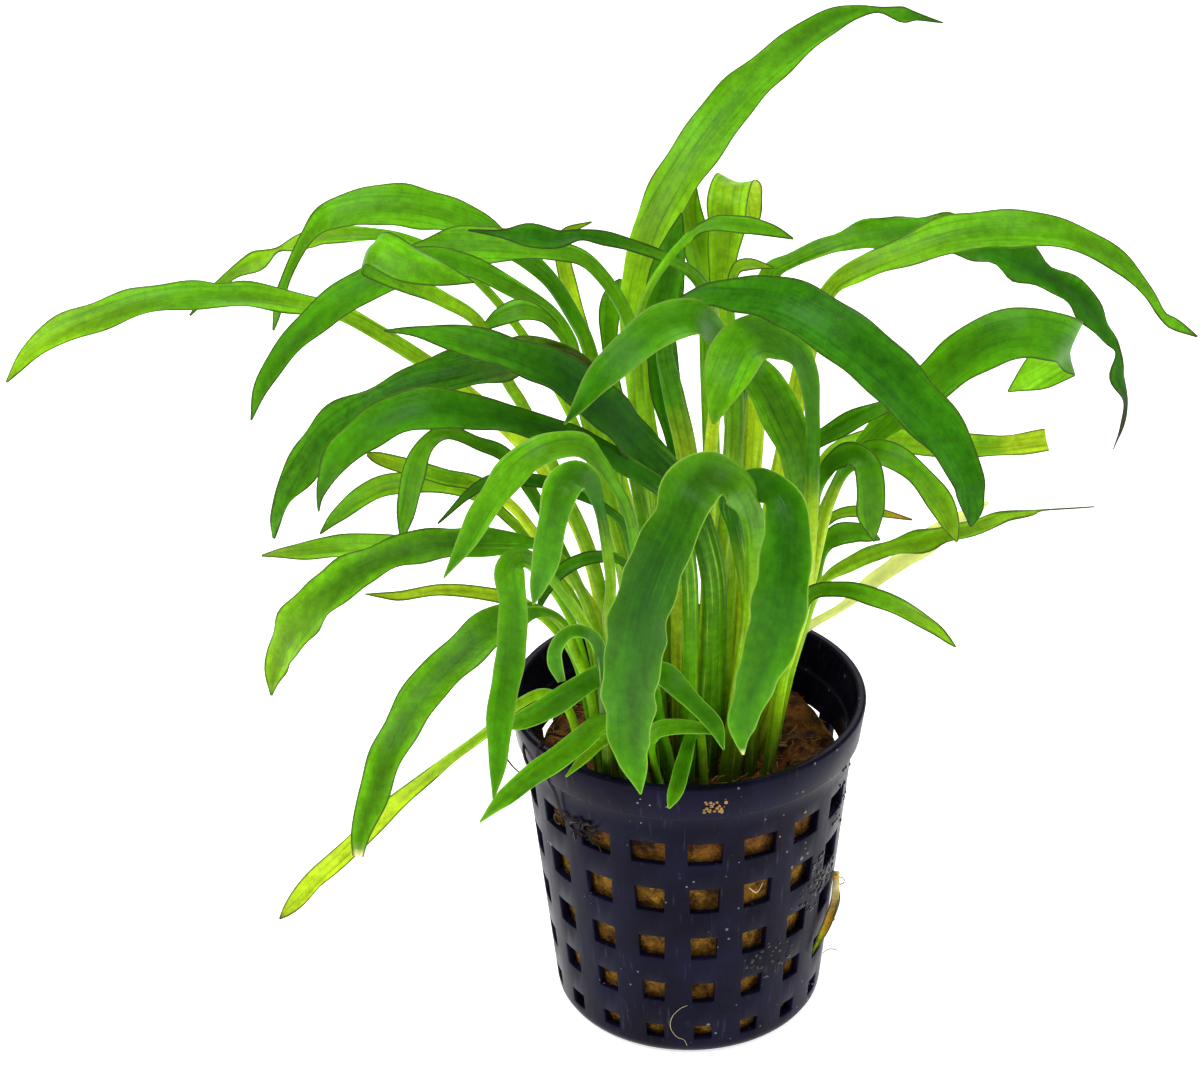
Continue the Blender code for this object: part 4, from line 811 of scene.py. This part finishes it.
leaf("left_leaf_broad", (-0.5, 9.5),
     [(0.5, 65, 11), (0, 78, 12.5), (-2, 86, 13.5)],
     [(-4, 89.4, 14, 2.6), (-8.6, 92.8, 14.5, 3.0), (-12, 95.4, 15, 3.2), (-17, 97.9, 15.5, 3.4),
      (-24.1, 100.5, 16, 4.1), (-30, 101.8, 16, 4.8), (-36.7, 103, 16, 6.4), (-42, 101.9, 16, 6.0),
      (-46.8, 99.4, 16, 5.6), (-50.9, 95.8, 16, 4.6), (-53.4, 91.4, 16, 2.3), (-54.4, 88.8, 16, 1.0),
      (-54.7, 86.4, 16, 0.3)],
     "fresh dark dark mid", tilt=25, stem=2.6)
leaf("left_leaf_thin_low", (-7.5, 7.5),
     [(-7.8, 62, 8), (-8, 74, 8.8), (-9.2, 82.5, 9), (-12, 86, 9.5)],
     [(-16, 88.4, 10, 1.6), (-22, 90.7, 10, 2.1), (-28, 91.3, 10, 1.9), (-32.3, 88.8, 10, 1.4),
      (-37.1, 84, 10, 0.3)],
     "fresh dark dark mid", stem=1.3, tilt=20)
leaf("left_leaf_slender", (-10.3, 5.3),
     [(-13.5, 66, 5), (-18, 75, 5), (-22.7, 82, 5), (-26, 86.7, 5)],
     [(-30.9, 90.4, 5, 2.2), (-36, 91.8, 5, 2.6), (-41.7, 93.7, 5, 2.4), (-45.5, 95.1, 5, 1.8),
      (-47, 95.8, 5, 0.6)],
     "yellow yellow spring yellow", stem=1.6, tilt=20)
leaf("left_leaf_behind", (-12.7, -0.8),
     [(-15, 64, -1), (-20, 76, -1.5)],
     [(-28, 86, -2, 1.6), (-35, 90, -2, 2.2), (-42.8, 90.6, -2, 3.2), (-48, 88.7, -2, 3.2),
      (-51.8, 85.8, -1.5, 2.2), (-54.7, 82.6, -1, 0.3)],
     "lime lime lime fresh", stem=1.4)
leaf("left_leaf_hooked", (-12.3, 2.2),
     [(-14.5, 66, 2), (-19, 80, 2.3)],
     [(-25.6, 93.6, 3.5, 2.2), (-31, 97.4, 5, 2.0), (-35.2, 99, 6.5, 2.2), (-38.2, 97, 8, 2.6),
      (-40.3, 92.4, 8.5, 3.6), (-41.4, 87, 8.5, 3.0), (-42.2, 83.5, 8.5, 1.7), (-42.7, 81, 8.5, 0.3)],
     "lime mid fresh fresh", stem=1.4, tilt=20)
leaf("left_leaf_bowed", (-10.5, 8.5),
     [(-12.5, 58, 9.5), (-15.3, 70, 11), (-18.8, 77.3, 12), (-23, 80.3, 12.5)],
     [(-30, 80.6, 13, 4.5), (-39.2, 80.1, 13, 4.7), (-47.4, 77.2, 12.5, 5.2), (-54.3, 72.2, 12, 6.2),
      (-59.7, 66, 11, 5.9), (-62.7, 60, 10, 3.5), (-63.9, 54.6, 10, 0.4)],
     "lime mid fresh lime", core=0.5, wave=0.5)
leaf("left_leaf_straight", (-13, 6),
     [(-16.3, 62, 6), (-20, 72, 6), (-25.5, 78, 6), (-32, 79.6, 6)],
     [(-42, 79.8, 5.5, 3.6), (-50, 80.2, 5, 3.7), (-53.5, 80.1, 4.9, 3.4), (-57, 79.8, 5, 2.9),
      (-60.5, 79.5, 4.7, 1.6), (-63.7, 79.1, 4.5, 0.3)],
     "spring spring spring lime", stem=1.4)
leaf("left_leaf_yellowed", (-13.7, 8.8),
     [(-16.5, 58, 9), (-20.5, 66, 9.3)],
     [(-25, 70, 9.3, 1.9), (-30.4, 71.8, 9.3, 2.1), (-37, 72.6, 9.3, 1.9), (-43, 71.7, 9.3, 1.5),
      (-46, 71.9, 9.3, 0.9), (-48.6, 72.2, 9.3, 0.2)],
     "fresh lime yellow yellow", stem=1.4, tilt=20)
leaf("left_leaf_bleached", (-13, 11.5),
     [(-15, 54, 12.5), (-17, 61, 14), (-19, 66.4, 16), (-22, 68.6, 18)],
     [(-26, 68, 20, 4.5), (-30.7, 64.9, 22, 6.0), (-36.4, 59.1, 24, 6.0), (-40.4, 54.4, 25.5, 6.2),
      (-43.3, 49.8, 26.5, 5.8), (-46.8, 42.5, 28, 5.3), (-49.4, 35, 28.5, 4.8), (-51.3, 29.6, 29, 3.4),
      (-52.1, 24.5, 29.5, 1.8)],
     "lime mid fresh fresh", tilt=25, core=0.5, tip=("straw", 1.2))
leaf("left_leaf_lowest", (-15.8, 11),
     [(-18, 50, 12.5), (-21.5, 54, 14.5), (-26, 52.2, 16.5), (-31.4, 47, 18)],
     [(-37.2, 42.2, 19, 1.7), (-43.4, 36.4, 19.5, 2.7), (-49.6, 30.1, 20, 3.1), (-55.8, 23.5, 20, 3.3),
      (-59, 20.3, 20, 3.2), (-61.6, 17.1, 20, 2.9), (-64, 14.4, 20, 1.8), (-65.5, 12.7, 20, 0.3)],
     "lime lime yellow yellow", stem=1.6, tip=("brown", 0.9))

# Leaves at the front
# These grew on the near side of the crown and hang forward over the pot's rim, the largest blade in the
# middle. Short late leaves lie under them, close to the wool.
leaf("front_leaf_left", (-9.5, 13.8),
     [(-12.3, 57, 16.5), (-16, 67, 19), (-21, 75, 21.5)],
     [(-24.5, 77.9, 23.5, 3.0), (-26.6, 76, 25.2, 4.4), (-26.3, 70.5, 26.8, 4.4), (-26.7, 63, 28.6, 4.6),
      (-27.6, 57.1, 30, 4.5), (-28.7, 51.6, 31.5, 4.4), (-29.3, 45, 33, 3.5), (-29.7, 40, 33.8, 2.4),
      (-30.5, 34.8, 34.5, 0.3)],
     "lime fresh mid mid", tilt=5, rim=0.4)
leaf("front_leaf_arched", (-7, 11.6),
     [(-10, 57, 14), (-12, 65.5, 16.5), (-11.5, 73, 18), (-12.1, 80, 19.5), (-13, 86, 20.5)],
     [(-14.2, 90, 22, 3.0), (-16.3, 91.6, 24, 4.8), (-18.4, 89.5, 26.2, 5.4), (-19.8, 84.4, 27.6, 4.4),
      (-21.2, 77.5, 29, 4.2), (-22.3, 73.5, 29, 2.8), (-23.3, 69.8, 29, 0.3)],
     "lime dark mid mid", tilt=10, rim=0.6)
leaf("front_leaf_high", (-3, 13),
     [(-5.5, 58, 15), (-7, 70, 17), (-7.8, 80, 18), (-9, 86.2, 19), (-10.8, 90.2, 19.5)],
     [(-13, 94, 20, 2.4), (-16, 96.6, 21, 3.6), (-20.9, 95.9, 22, 4.6), (-25.6, 92.4, 22.5, 4.6),
      (-29.6, 86.7, 23, 4.2), (-32.2, 82, 23.5, 3.2), (-34.6, 78, 23.8, 1.8), (-36.6, 74.7, 24, 0.3)],
     "fresh fresh fresh mid", tilt=25, rim=0.5)
leaf("front_leaf_dark_arch", (-5, 10),
     [(-6, 62, 10.8), (-7, 72, 12), (-9.3, 76.6, 13)],
     [(-12, 77.8, 13.5, 1.8), (-15.5, 77.4, 14.5, 2.1), (-19, 75.4, 15, 2.1), (-21.5, 71.6, 15.5, 1.5),
      (-22.9, 67.9, 16, 0.3)],
     "fresh mid mid dark", stem=1.3, tilt=10)
leaf("front_leaf_loop", (-12.2, 16.6),
     [(-12.7, 50, 20.5), (-12.9, 58, 24.5)],
     [(-13.8, 63, 26.5, 2.0), (-15.9, 64.9, 27.5, 2.0), (-18.2, 64.6, 28, 2.1), (-19.9, 62.2, 28, 2.2),
      (-20.2, 59.4, 28, 2.3), (-19.3, 56.2, 28, 1.2)],
     "olive dark mid mid", stem=1.8, tilt=10, rim=1.0)
leaf("front_leaf_low_1", (-6.2, 14.4),
     [(-9, 50, 17)],
     [(-11.3, 56.4, 19.5, 2.6), (-13, 57.2, 20.5, 3.2), (-16, 55.3, 22, 3.5), (-19.6, 52.8, 23, 3.9),
      (-23.3, 50.3, 24, 3.3), (-26.5, 48.7, 24.5, 2.4), (-28.4, 48, 24.8, 0.4)],
     "fresh fresh mid fresh", stem=1.4, tilt=15, rim=1.0)
leaf("front_leaf_low_2", (-6.5, 17.7),
     [(-8, 45.5, 19.7), (-10.5, 49.1, 21.5)],
     [(-13.4, 48.5, 23.5, 3.0), (-16.9, 44.9, 25.5, 3.6), (-22.3, 40.6, 28, 3.7), (-27.9, 35.6, 30, 3.0),
      (-30.4, 33.2, 30.6, 1.8), (-32.8, 30.5, 31, 0.3)],
     "fresh fresh fresh fresh", stem=1.4, tilt=20, rim=1.0)
leaf("front_leaf_low_3", (-10, 17.3),
     [(-10.3, 42, 18.8), (-11.4, 45.2, 20.8)],
     [(-13.4, 45.2, 23.2, 2.0), (-16, 42.3, 25.8, 1.8), (-19, 38.8, 28, 0.3)],
     "lime mid lime lime", stem=1.1, tilt=10, rim=1.0)
leaf("front_leaf_low_4", (-1.7, 14.6),
     [(-4.5, 50, 17)],
     [(-5.4, 55.8, 19, 2.4), (-4, 57.2, 21, 3.4), (-1.6, 54.9, 24, 3.6), (1.5, 51.1, 27, 2.6),
      (4.2, 47.4, 29.5, 2.6), (5.6, 43.2, 31, 0.3)],
     "fresh mid mid mid", stem=1.4, tilt=15, rim=1.0)
leaf("front_leaf_low_5", (-3.5, 18.5),
     [(-5.6, 43, 21)],
     [(-4.9, 46.8, 23.5, 2.7), (-0.9, 47.5, 26, 2.3), (3.3, 46.9, 28, 1.6), (5.6, 45.6, 28.5, 0.4)],
     "fresh fresh fresh fresh", stem=1.2, tilt=15, rim=1.0)
leaf("front_leaf_low_6", (2, 15.5),
     [(2.2, 44, 18), (1.6, 47, 20.5)],
     [(0.4, 45.6, 23, 1.9), (-0.6, 41.2, 27.5, 2.4), (-1.6, 36.9, 30.5, 2.6), (-2.4, 34.4, 31.9, 2.0),
      (-3, 32.5, 33, 0.4)],
     "lime mid mid fresh", stem=1.6, tilt=5, rim=1.0)
leaf("front_leaf_large", (6, 9),
     [(8.5, 56, 10.5), (9.8, 66, 12.5), (10.2, 74, 15), (10.2, 81, 17.5)],
     [(8.9, 86.3, 20, 4.0), (6.3, 89.9, 22.5, 6.0), (3, 90.9, 25, 7.4), (0.3, 88.2, 27.5, 8.0),
      (-1.4, 83, 29.5, 8.0), (-4.4, 76, 31.5, 8.4), (-6.6, 68.5, 33, 9.1), (-7.9, 61, 34, 9.0),
      (-8.7, 54, 34.5, 8.3), (-9, 47, 34.5, 6.9), (-8.7, 43.5, 34.5, 5.2), (-8.3, 41, 34.5, 4.2),
      (-7.8, 38, 34.5, 2.3), (-7.4, 35.2, 34.5, 0.3)],
     "lime fresh deep mid", stem=3.4, tilt=20, wave=0.5, rim=0.8)
leaf("front_leaf_right", (9.2, 8),
     [(9.8, 60, 9.5), (8.9, 72, 11), (7.2, 82, 12.5)],
     [(6.4, 86.3, 14, 3.4), (7.6, 88.7, 15.5, 4.2), (9.8, 89.5, 17.5, 4.8), (12.6, 88.8, 19.5, 5.2),
      (14.6, 86, 21.5, 6.0), (15.1, 82, 23.5, 7.0), (14.9, 78, 25.2, 7.7), (14.4, 71, 28, 8.4),
      (12.9, 62.8, 30.5, 8.0), (10.6, 55.7, 32.5, 6.1), (8.6, 48.9, 34, 4.6),
      (8.3, 45.5, 34.4, 2.6), (8.6, 42.2, 34.5, 0.4)],
     "lime dark dark mid", stem=2.2, tilt=10, wave=0.5, rim=0.8, tip=("straw", 0.9))
leaf("front_leaf_high_left", (2, 4),
     [(5, 75, 6), (7, 95, 7.5), (6.8, 107, 8.5)],
     [(4.6, 113.6, 10.5, 3.4), (1.6, 116.4, 13, 5.0), (-2.6, 115.8, 15, 6.0), (-7.4, 112.6, 17, 5.6),
      (-12, 107.8, 18.5, 4.2), (-15.2, 103.6, 19.1, 2.5), (-17.9, 100.1, 19.5, 0.3)],
     "lime mid mid dark", stem=2.5, tilt=25, rim=0.4)
leaf("front_leaf_high_right", (9.6, 4.5),
     [(14.5, 57, 7.5), (17.4, 68, 9.5), (18.2, 78, 11), (18.5, 91.8, 11.5)],
     [(18.2, 103, 11.5, 2.4), (16.9, 109.2, 11.8, 3.4), (14.4, 112.4, 12.3, 5.0), (11.2, 113.4, 13.3, 6.8),
      (8.1, 111.8, 15, 7.3), (6.1, 107.3, 17.3, 7.2), (4.6, 102.8, 18.8, 3.6), (3.9, 99.6, 19.5, 0.3)],
     "yellow mid mid fresh", stem=2.2, tilt=20, rim=0.4)
leaf("front_leaf_dark", (4.5, 0.5),
     [(6, 75, 2), (6.8, 95, 3.5), (7.4, 104.5, 5)],
     [(8.8, 108.3, 6.5, 4.0), (11.3, 106, 8, 5.8), (13.8, 100.5, 8.5, 6.0), (16.2, 94.5, 8.5, 5.4),
      (17.4, 88.5, 8.2, 4.6), (17.5, 84.5, 7.8, 3.0), (17, 81, 7.5, 0.3)],
     "lime mid fresh fresh", tilt=15, rim=0.5, stem=3.0)

# Leaves to the right
# Two long leaves sweep out over the top and hook down, the widest dark one hangs in front of them, and one
# has curled back under its own end. Lower down are a leaf cut off square, a dead pale one and a fine thread.
leaf("right_leaf_short", (-4, 0.5),
     [(-5.5, 80, 1), (-8, 104, 2), (-7.2, 114, 3.5), (-5.8, 120.4, 4.5), (-2.2, 126.4, 5)],
     [(1.2, 129.9, 5, 1.3), (3.2, 130.9, 5, 1.9), (5, 131.2, 5, 2.5), (8, 130.9, 5, 2.65),
      (9.5, 130.7, 5, 2.5), (12.4, 129.9, 5, 1.7), (15.2, 128.7, 5, 0.3)],
     "lime fresh fresh fresh", stem=1.15, tilt=25)
leaf("right_leaf_thread_tip", (7, -5.5),
     [(8.5, 75, -7), (10, 100, -8), (10.3, 115, -8), (11.8, 123, -8)],
     [(15, 125.4, -8, 2.2), (20.5, 127.7, -8, 2.8), (27, 129, -8, 4.2), (34, 129.3, -8, 4.6),
      (40, 127.8, -8, 5.0), (46, 125.1, -7.5, 5.2), (51.8, 121.8, -7, 4.1), (56.8, 118, -6.5, 3.6),
      (60, 113.4, -6, 3.1), (62.3, 110.3, -6, 0.8), (62.6, 106.2, -6, 2.2), (64, 102, -6, 0.9),
      (63.8, 98, -6, 0.5), (62.8, 94.2, -6, 0.2)],
     "yellow fresh dark dark", stem=3.0, wave=0.9, tip=("wilted", 12))
leaf("right_leaf_high", (6.8, -2.5),
     [(10, 70, -3), (14.5, 95, -3), (18, 114, -2)],
     [(20.8, 121, -1.5, 2.4), (25.7, 124, -1, 3.7), (31, 126.2, -1, 4.2), (37.5, 128.5, -1, 5.6),
      (44, 129.4, -1, 5.4), (50, 129, -0.5, 4.8), (56, 127.6, 0, 3.8), (61.5, 124.1, 0.5, 2.9),
      (66, 119.4, 1, 1.8), (68.4, 115.8, 1.5, 1.3), (70.3, 114.2, 1.7, 1.7), (73.8, 112.2, 2, 0.3)],
     "yellow lime fresh fresh", stem=3.0, tip=("brown", 1.5))
leaf("right_leaf_large_dark", (-1, 4.5),
     [(-0.8, 75, 5.5), (0.2, 92, 6), (-1.8, 104, 6.6)],
     [(-3.2, 112, 7.5, 2.4), (-1.6, 117.6, 8.5, 2.4), (2.2, 120.1, 10.2, 2.8), (7.5, 120.2, 12.6, 5.1),
      (12.5, 119.5, 15, 6.5), (17.5, 117, 17, 7.8), (23, 113, 18.8, 8.0), (28.5, 108, 20.3, 8.0),
      (33.5, 102.3, 21.8, 7.8), (38.1, 96.7, 23, 6.6), (41.4, 90, 25, 5.0), (42, 87.3, 25.5, 4.4),
      (42.5, 84.5, 26, 3.1), (42.3, 81.7, 26.5, 0.3)],
     "yellow mid dark dark", stem=3.2, tilt=10, core=0.1)
leaf("right_leaf_curled", (9.5, -2),
     [(13, 58, -1.5), (17, 76, -1), (22, 89.5, 0)],
     [(25.4, 95.2, 1, 2.2), (30, 100.2, 1.5, 4.5), (35, 105.2, 2, 6.0), (40, 109.8, 2.5, 7.0),
      (44.6, 112.6, 3, 7.8), (49.5, 113.4, 3.6, 7.2), (53.4, 112.6, 3.3, 7.2), (55.5, 111.4, 2.1, 7.0),
      (55.3, 110.2, 0.4, 6.8), (53.3, 108.6, -0.8, 6.4), (50.3, 106.5, -1.4, 4.8), (46.8, 104, -1.8, 0.3)],
     "yellow fresh mid mid", stem=1.4, tilt=5, under="spring", cup=-0.04)
leaf("right_leaf_hidden", (7.6, 1.2),
     [(11, 62, 1.2), (13.5, 80, 1.5), (15.3, 90, 2)],
     [(17.8, 95.3, 2.5, 2.0), (22.8, 98.8, 3, 3.0), (27.9, 101.4, 3.5, 2.4), (32, 102.8, 4, 0.3)],
     "lime mid mid mid", stem=1.4, tilt=20)
leaf("right_leaf_cut", (10.6, -5),
     [(14, 60, -5), (17, 78, -5), (18.8, 89, -4.5)],
     [(21, 94, -4, 2.2), (25, 95.9, -4, 3.2), (31, 96.2, -4, 3.8), (38, 95.4, -4, 3.8), (45, 95, -4.5, 3.3),
      (52.9, 95.8, -5, 3.2)],
     "yellow lime lime lime", stem=1.6, tilt=25, tip=("yellow", 9))
leaf("right_leaf_hanging_1", (12, 2.6),
     [(15.3, 57, 3.5), (17.6, 70, 4.5), (18.4, 80, 5.5), (19.2, 88, 7)],
     [(21.2, 92.6, 9.5, 2.6), (24, 94.2, 12, 3.6), (26.4, 92.6, 14.5, 4.0), (27.2, 88.2, 15.5, 4.3),
      (27.2, 84.5, 15.7, 4.0), (27.6, 82, 15.9, 2.5), (28, 79.5, 16, 0.3)],
     "yellow mid mid fresh", stem=1.6, tilt=10)
leaf("right_leaf_hanging_2", (12, -0.5),
     [(15.5, 57, 0.3), (18.5, 72, 1.5), (20.3, 82, 3), (21.5, 87, 4), (23.5, 91.5, 5)],
     [(26.5, 94.2, 7, 3.4), (29.9, 93.7, 8.5, 4.0), (33.9, 91, 10, 3.5), (37.2, 86.3, 11, 3.8),
      (39.2, 82.2, 11.6, 2.8), (40.4, 79.2, 12, 0.4)],
     "yellow mid fresh lime", stem=1.5, tilt=25)
leaf("right_leaf_fine_tip", (12.4, 5.8),
     [(15.5, 56, 6), (18.4, 68, 6), (20.8, 73.1, 6)],
     [(23.8, 75.4, 6.5, 2.2), (28.5, 77.6, 7, 2.6), (31.5, 78.6, 7.2, 3.2), (34.5, 79.1, 7.5, 3.1),
      (38, 80.2, 7.8, 2.6), (41.2, 80.9, 8, 2.9), (45, 82.3, 8, 2.4), (48, 83.4, 8, 1.3),
      (51.5, 83.9, 8.4, 1.1), (53.2, 84.3, 8.5, 0.4), (60.6, 84.7, 9, 0.2)],
     "lime lime lime lime", stem=1.5, tilt=25, wave=0.9, tip=("wilted", 9))
leaf("right_leaf_pale", (12, -8.5),
     [(14, 56, -8), (17, 63.7, -8)],
     [(23.5, 68.4, -9, 1.4), (27.3, 72, -10, 2.2), (31.7, 75.7, -11, 2.8), (36.5, 79.6, -12, 3.4),
      (40.7, 82.8, -13, 2.6), (44.8, 85.8, -14, 0.4)],
     "pale pale pale pale", stem=1.4, tilt=20, under="pale", rim=1.0)
leaf("right_leaf_lowest", (11.6, 9.5),
     [(14.6, 56, 11), (16.5, 65, 13)],
     [(18.6, 70.5, 15.5, 2.2), (23.5, 71.4, 17.5, 2.5), (28.5, 69.7, 19.5, 2.9), (33.7, 67, 21.5, 2.6),
      (37.5, 64.3, 22.5, 1.9), (39.6, 62.2, 23, 1.1), (40.9, 60.9, 23.5, 0.3)],
     "lime fresh fresh lime", stem=1.8, tilt=20)
leaf("right_leaf_orange", (9.3, -7.8),
     [(12.5, 62, -7.5), (17.5, 77, -7.5)],
     [(21.5, 83.6, -7.5, 1.4), (27, 84.6, -7.5, 1.8), (33.6, 83.1, -7.5, 0.3)],
     "yellow lime lime lime", stem=1.2, tilt=20, tip=("orange", 5))
leaf("right_leaf_small", (12.9, -3.3),
     [(16, 58, -3.3), (19, 70, -3), (20.4, 77.6, -2.5)],
     [(22.3, 80.6, -2, 3.2), (25.3, 81.2, -2, 3.0), (27.2, 80.6, -2, 2.2), (28.9, 79.8, -2, 0.3)],
     "lime mid fresh fresh", stem=1.3, tilt=20)

# Roots
# Living and dead roots that have crept over the wool and out over the rim on the left, where they hang in
# black threads with a small loop. On the right they lie rust brown on the wool.
ROOT_WIDTH = 0.55
ROOT_REACH = 23.5
DEAD_ENDS = 16
DEAD_CURL = 0.45
YOUNG_ROOTS = 34
YOUNG_CURL = 0.4
COLLAR_RADIUS = 27.05


def on_pot(turn, height, off=0.1):
    """A point on the pot's outside, at a turn in degrees from the front to the right, standing off by off."""
    radius = (COLLAR_RADIUS if height > COLLAR_FOOT + 0.2 else wall_radius(height)) + off
    return Vector((radius * math.sin(math.radians(turn)), -radius * math.cos(math.radians(turn)), height))


def smooth_strand(*spots):
    """A thread's route on a smooth curve through a few spots."""
    return [place.xyz for place in smooth_route([Vector((*spot, 0.0)) for spot in spots])[0][::3]]


# Old roots: thin, black to dark brown, dull, wiry.
old_root = strand_material("dead root", 300.0, "#080604", "#2a180e", 0.55, specular=0.25)
draw = random.Random(3)
dead_roots = [(ROOT_WIDTH * share, smooth_strand(*spots)) for share, spots in (
    (1.3, [(-19.5, -8, 44.5), (-21.4, -11.5, 49), (-22.2, -14.4, 54.2), on_pot(-57, 51.5, 0.3),
           on_pot(-52, 47, 0.6), on_pot(-50, 42, 0.4)]),
    (1.0, [(-24.2, -10.4, 54.2), on_pot(-68, 51), on_pot(-64, 49, 0.3), on_pot(-57, 48.8),
           on_pot(-54, 50.4)]),
    (0.6, [on_pot(-80, 51.5), on_pot(-82, 49.5, 2.4), on_pot(-80, 47, 3.4), on_pot(-76, 44.8, 2.2),
           on_pot(-70, 44, 0.3)]),
    (0.9, [(-21, 5, 45), (-19.5, 7, 46.2), (-18.3, 8, 44.8), (-17.6, 9.4, 46.4), (-16.6, 10.6, 45)]),
    (0.8, [(-23, -1, 44.6), (-21.5, 1, 46), (-19, 1.6, 45.2), (-16.5, 3, 46.4)]),
)]
# The small loop, and a tuft of short ends beside it
loop_route = [on_pot(-52 + 1.8 * math.cos(k / 2), 41.5 + 0.8 * math.sin(k / 2), 0.3 + 0.04 * k)
              for k in range(13)]
dead_roots.append((ROOT_WIDTH * 0.8, loop_route))
for _ in range(DEAD_ENDS):
    start = on_pot(draw.uniform(-50, -38), draw.uniform(39.5, 44), 0.25)
    width = ROOT_WIDTH * draw.uniform(0.6, 1.3)
    heading = (1.0, -0.4, draw.uniform(-0.6, 0.2))
    dead_roots.append((width, wandering(start, heading, draw.uniform(1.5, 3.5), DEAD_CURL, draw)))
threads("dead_roots", dead_roots, old_root, ends=0.6)

# Younger roots: rust brown, damp, a little glossy.
young_root = strand_material("rust-brown root", 260.0, "#3a1606", "#a0561c", 0.45)
young_roots = []
for _ in range(YOUNG_ROOTS):
    start = Vector((draw.uniform(9, 20), draw.uniform(-9, 9), WOOL_TOP + 0.5))
    width = ROOT_WIDTH * draw.uniform(0.6, 1.4)
    heading = (draw.uniform(-1, 1), draw.uniform(-1, 1), 0.0)
    route = wandering(start, heading, draw.uniform(3, 7), YOUNG_CURL, draw, lift=0.9)
    if all(spot.xy.length < ROOT_REACH for spot in route):
        young_roots.append((width, route))
threads("young_roots", young_roots, young_root, ends=0.6)

# Dried sheath
# The papery sheath of a dead leaf, stuck to the pot's right side by one end, with a few tan fibres.
# It dries straw and orange, as a leaf's blade does, but duller and blotched.
sheath_finish = leaf_material("dried sheath", 0.4, "#8a5a1c", 0.6)
for name, tones, under, wave, spots in (
    ("dried_sheath", "straw straw orange lime", "straw", 0.5,
     ((74, 22.6, 0.7, 1.0), (69, 20, 1.2, 1.3), (63, 16.5, 1.0, 1.4), (56, 13.2, 0.5, 0.3))),
    ("dried_sheath_strip", "straw orange straw orange", "orange", 0.4,
     ((75, 22.2, 0.6, 0.8), (77, 18.5, 1.0, 1.3), (78, 14.5, 0.8, 0.9), (80, 13.4, 1.2, 0.3))),
):
    route = [Vector((*on_pot(turn, height, off), width)) for turn, height, off, width in spots]
    grown(name, route, 0, tones, sheath_finish, "pale_leaf", stem=0.6, under=under, wave=wave)

# Bleached fibres of wool and root: dry, pale tan, matt.
pale_fibre, tree, shader = new_material("bleached fibre")
feed(shader, {"Base Color": linear("#c9b98a"), "Roughness": 0.6})
ring = [on_pot(80, 21 + 0.7 * math.sin(k / 2), 1.0 + 0.9 * math.cos(k / 2)) for k in range(13)]
threads("pale_fibres", [
    (0.3, ring),
    (0.24, smooth_strand(on_pot(84, 5.6), on_pot(86, 5.9, 1.2), on_pot(88, 5.0, 2.8))),
    (0.08, smooth_strand(on_pot(-2.5, 10.8), on_pot(-5.5, 10), on_pot(-8.7, 8.2), on_pot(-9.4, 6),
                         on_pot(-7, 4.2), on_pot(-4, 3.6), on_pot(-2.6, 2.4))),
    (0.2, smooth_strand(on_pot(21, 32.5, -0.7), on_pot(24, 31.4, -0.4), on_pot(27, 32.8, -0.7))),
], pale_fibre, ends=0.7)

# Grime on the pot
# Beads of dirty water that cling to the wall's right side, and crumbs of wool stuck to the collar's front.
# Each area is (turn from, turn to, lowest, highest, count).
BEADS = ((45.0, 70.0, 22.0, 33.0, 150), (20.0, 45.0, 14.0, 21.0, 50), (60.0, 80.0, 34.0, 46.0, 30))
BEAD_SIZE = 0.34
CRUMBS = ((3.0, 10.0, 49.5, 51.6, 34), (-24.0, -12.0, 49.0, 51.5, 2), (20.0, 50.0, 30.0, 45.0, 5))
CRUMB_SIZE = 0.26


def in_hole(turn, height):
    """Whether a point of the pot's outside lies over one of its holes."""
    column = (turn - HOLE_TURN + 180.0 / COLUMNS) % (360.0 / COLUMNS) - 180.0 / COLUMNS
    return abs(column) < hole_half_angle(height) + 0.8 and any(
        abs(height - middle) < tall / 2 + 0.3 for middle, wide, tall in HOLES)


def scattered(name, areas, size, finesse, finish):
    """Small lumps sunk into the pot's outside at random over some areas, as one mesh."""
    shape = bmesh.new()
    for turn_from, turn_to, low, high, count in areas:
        for _ in range(count):
            turn, height = draw.uniform(turn_from, turn_to), draw.uniform(low, high)
            if in_hole(turn, height):
                continue
            radius = size * draw.uniform(0.5, 1.2)
            lump = (Matrix.Translation(on_pot(turn, height, 0.0) * MM)
                    @ Matrix.Rotation(math.radians(turn), 4, "Z")
                    @ Matrix.Diagonal((radius * draw.uniform(0.7, 1.3), radius * 0.6, radius, 1 / MM)) * MM)
            bmesh.ops.create_icosphere(shape, subdivisions=finesse, radius=1.0, matrix=lump)
    piece(name, shape, finish, 80.0)


# Drops of water over black plastic: dark, clear and shiny.
bead_finish, tree, shader = new_material("dirty water bead")
feed(shader, {"Base Color": linear("#07080f"), "Roughness": 0.08, "IOR": 1.33, "Specular IOR Level": 0.6})
scattered("grime_beads", BEADS, BEAD_SIZE, 2, bead_finish)
scattered("wool_crumbs", CRUMBS, CRUMB_SIZE, 1, straw)
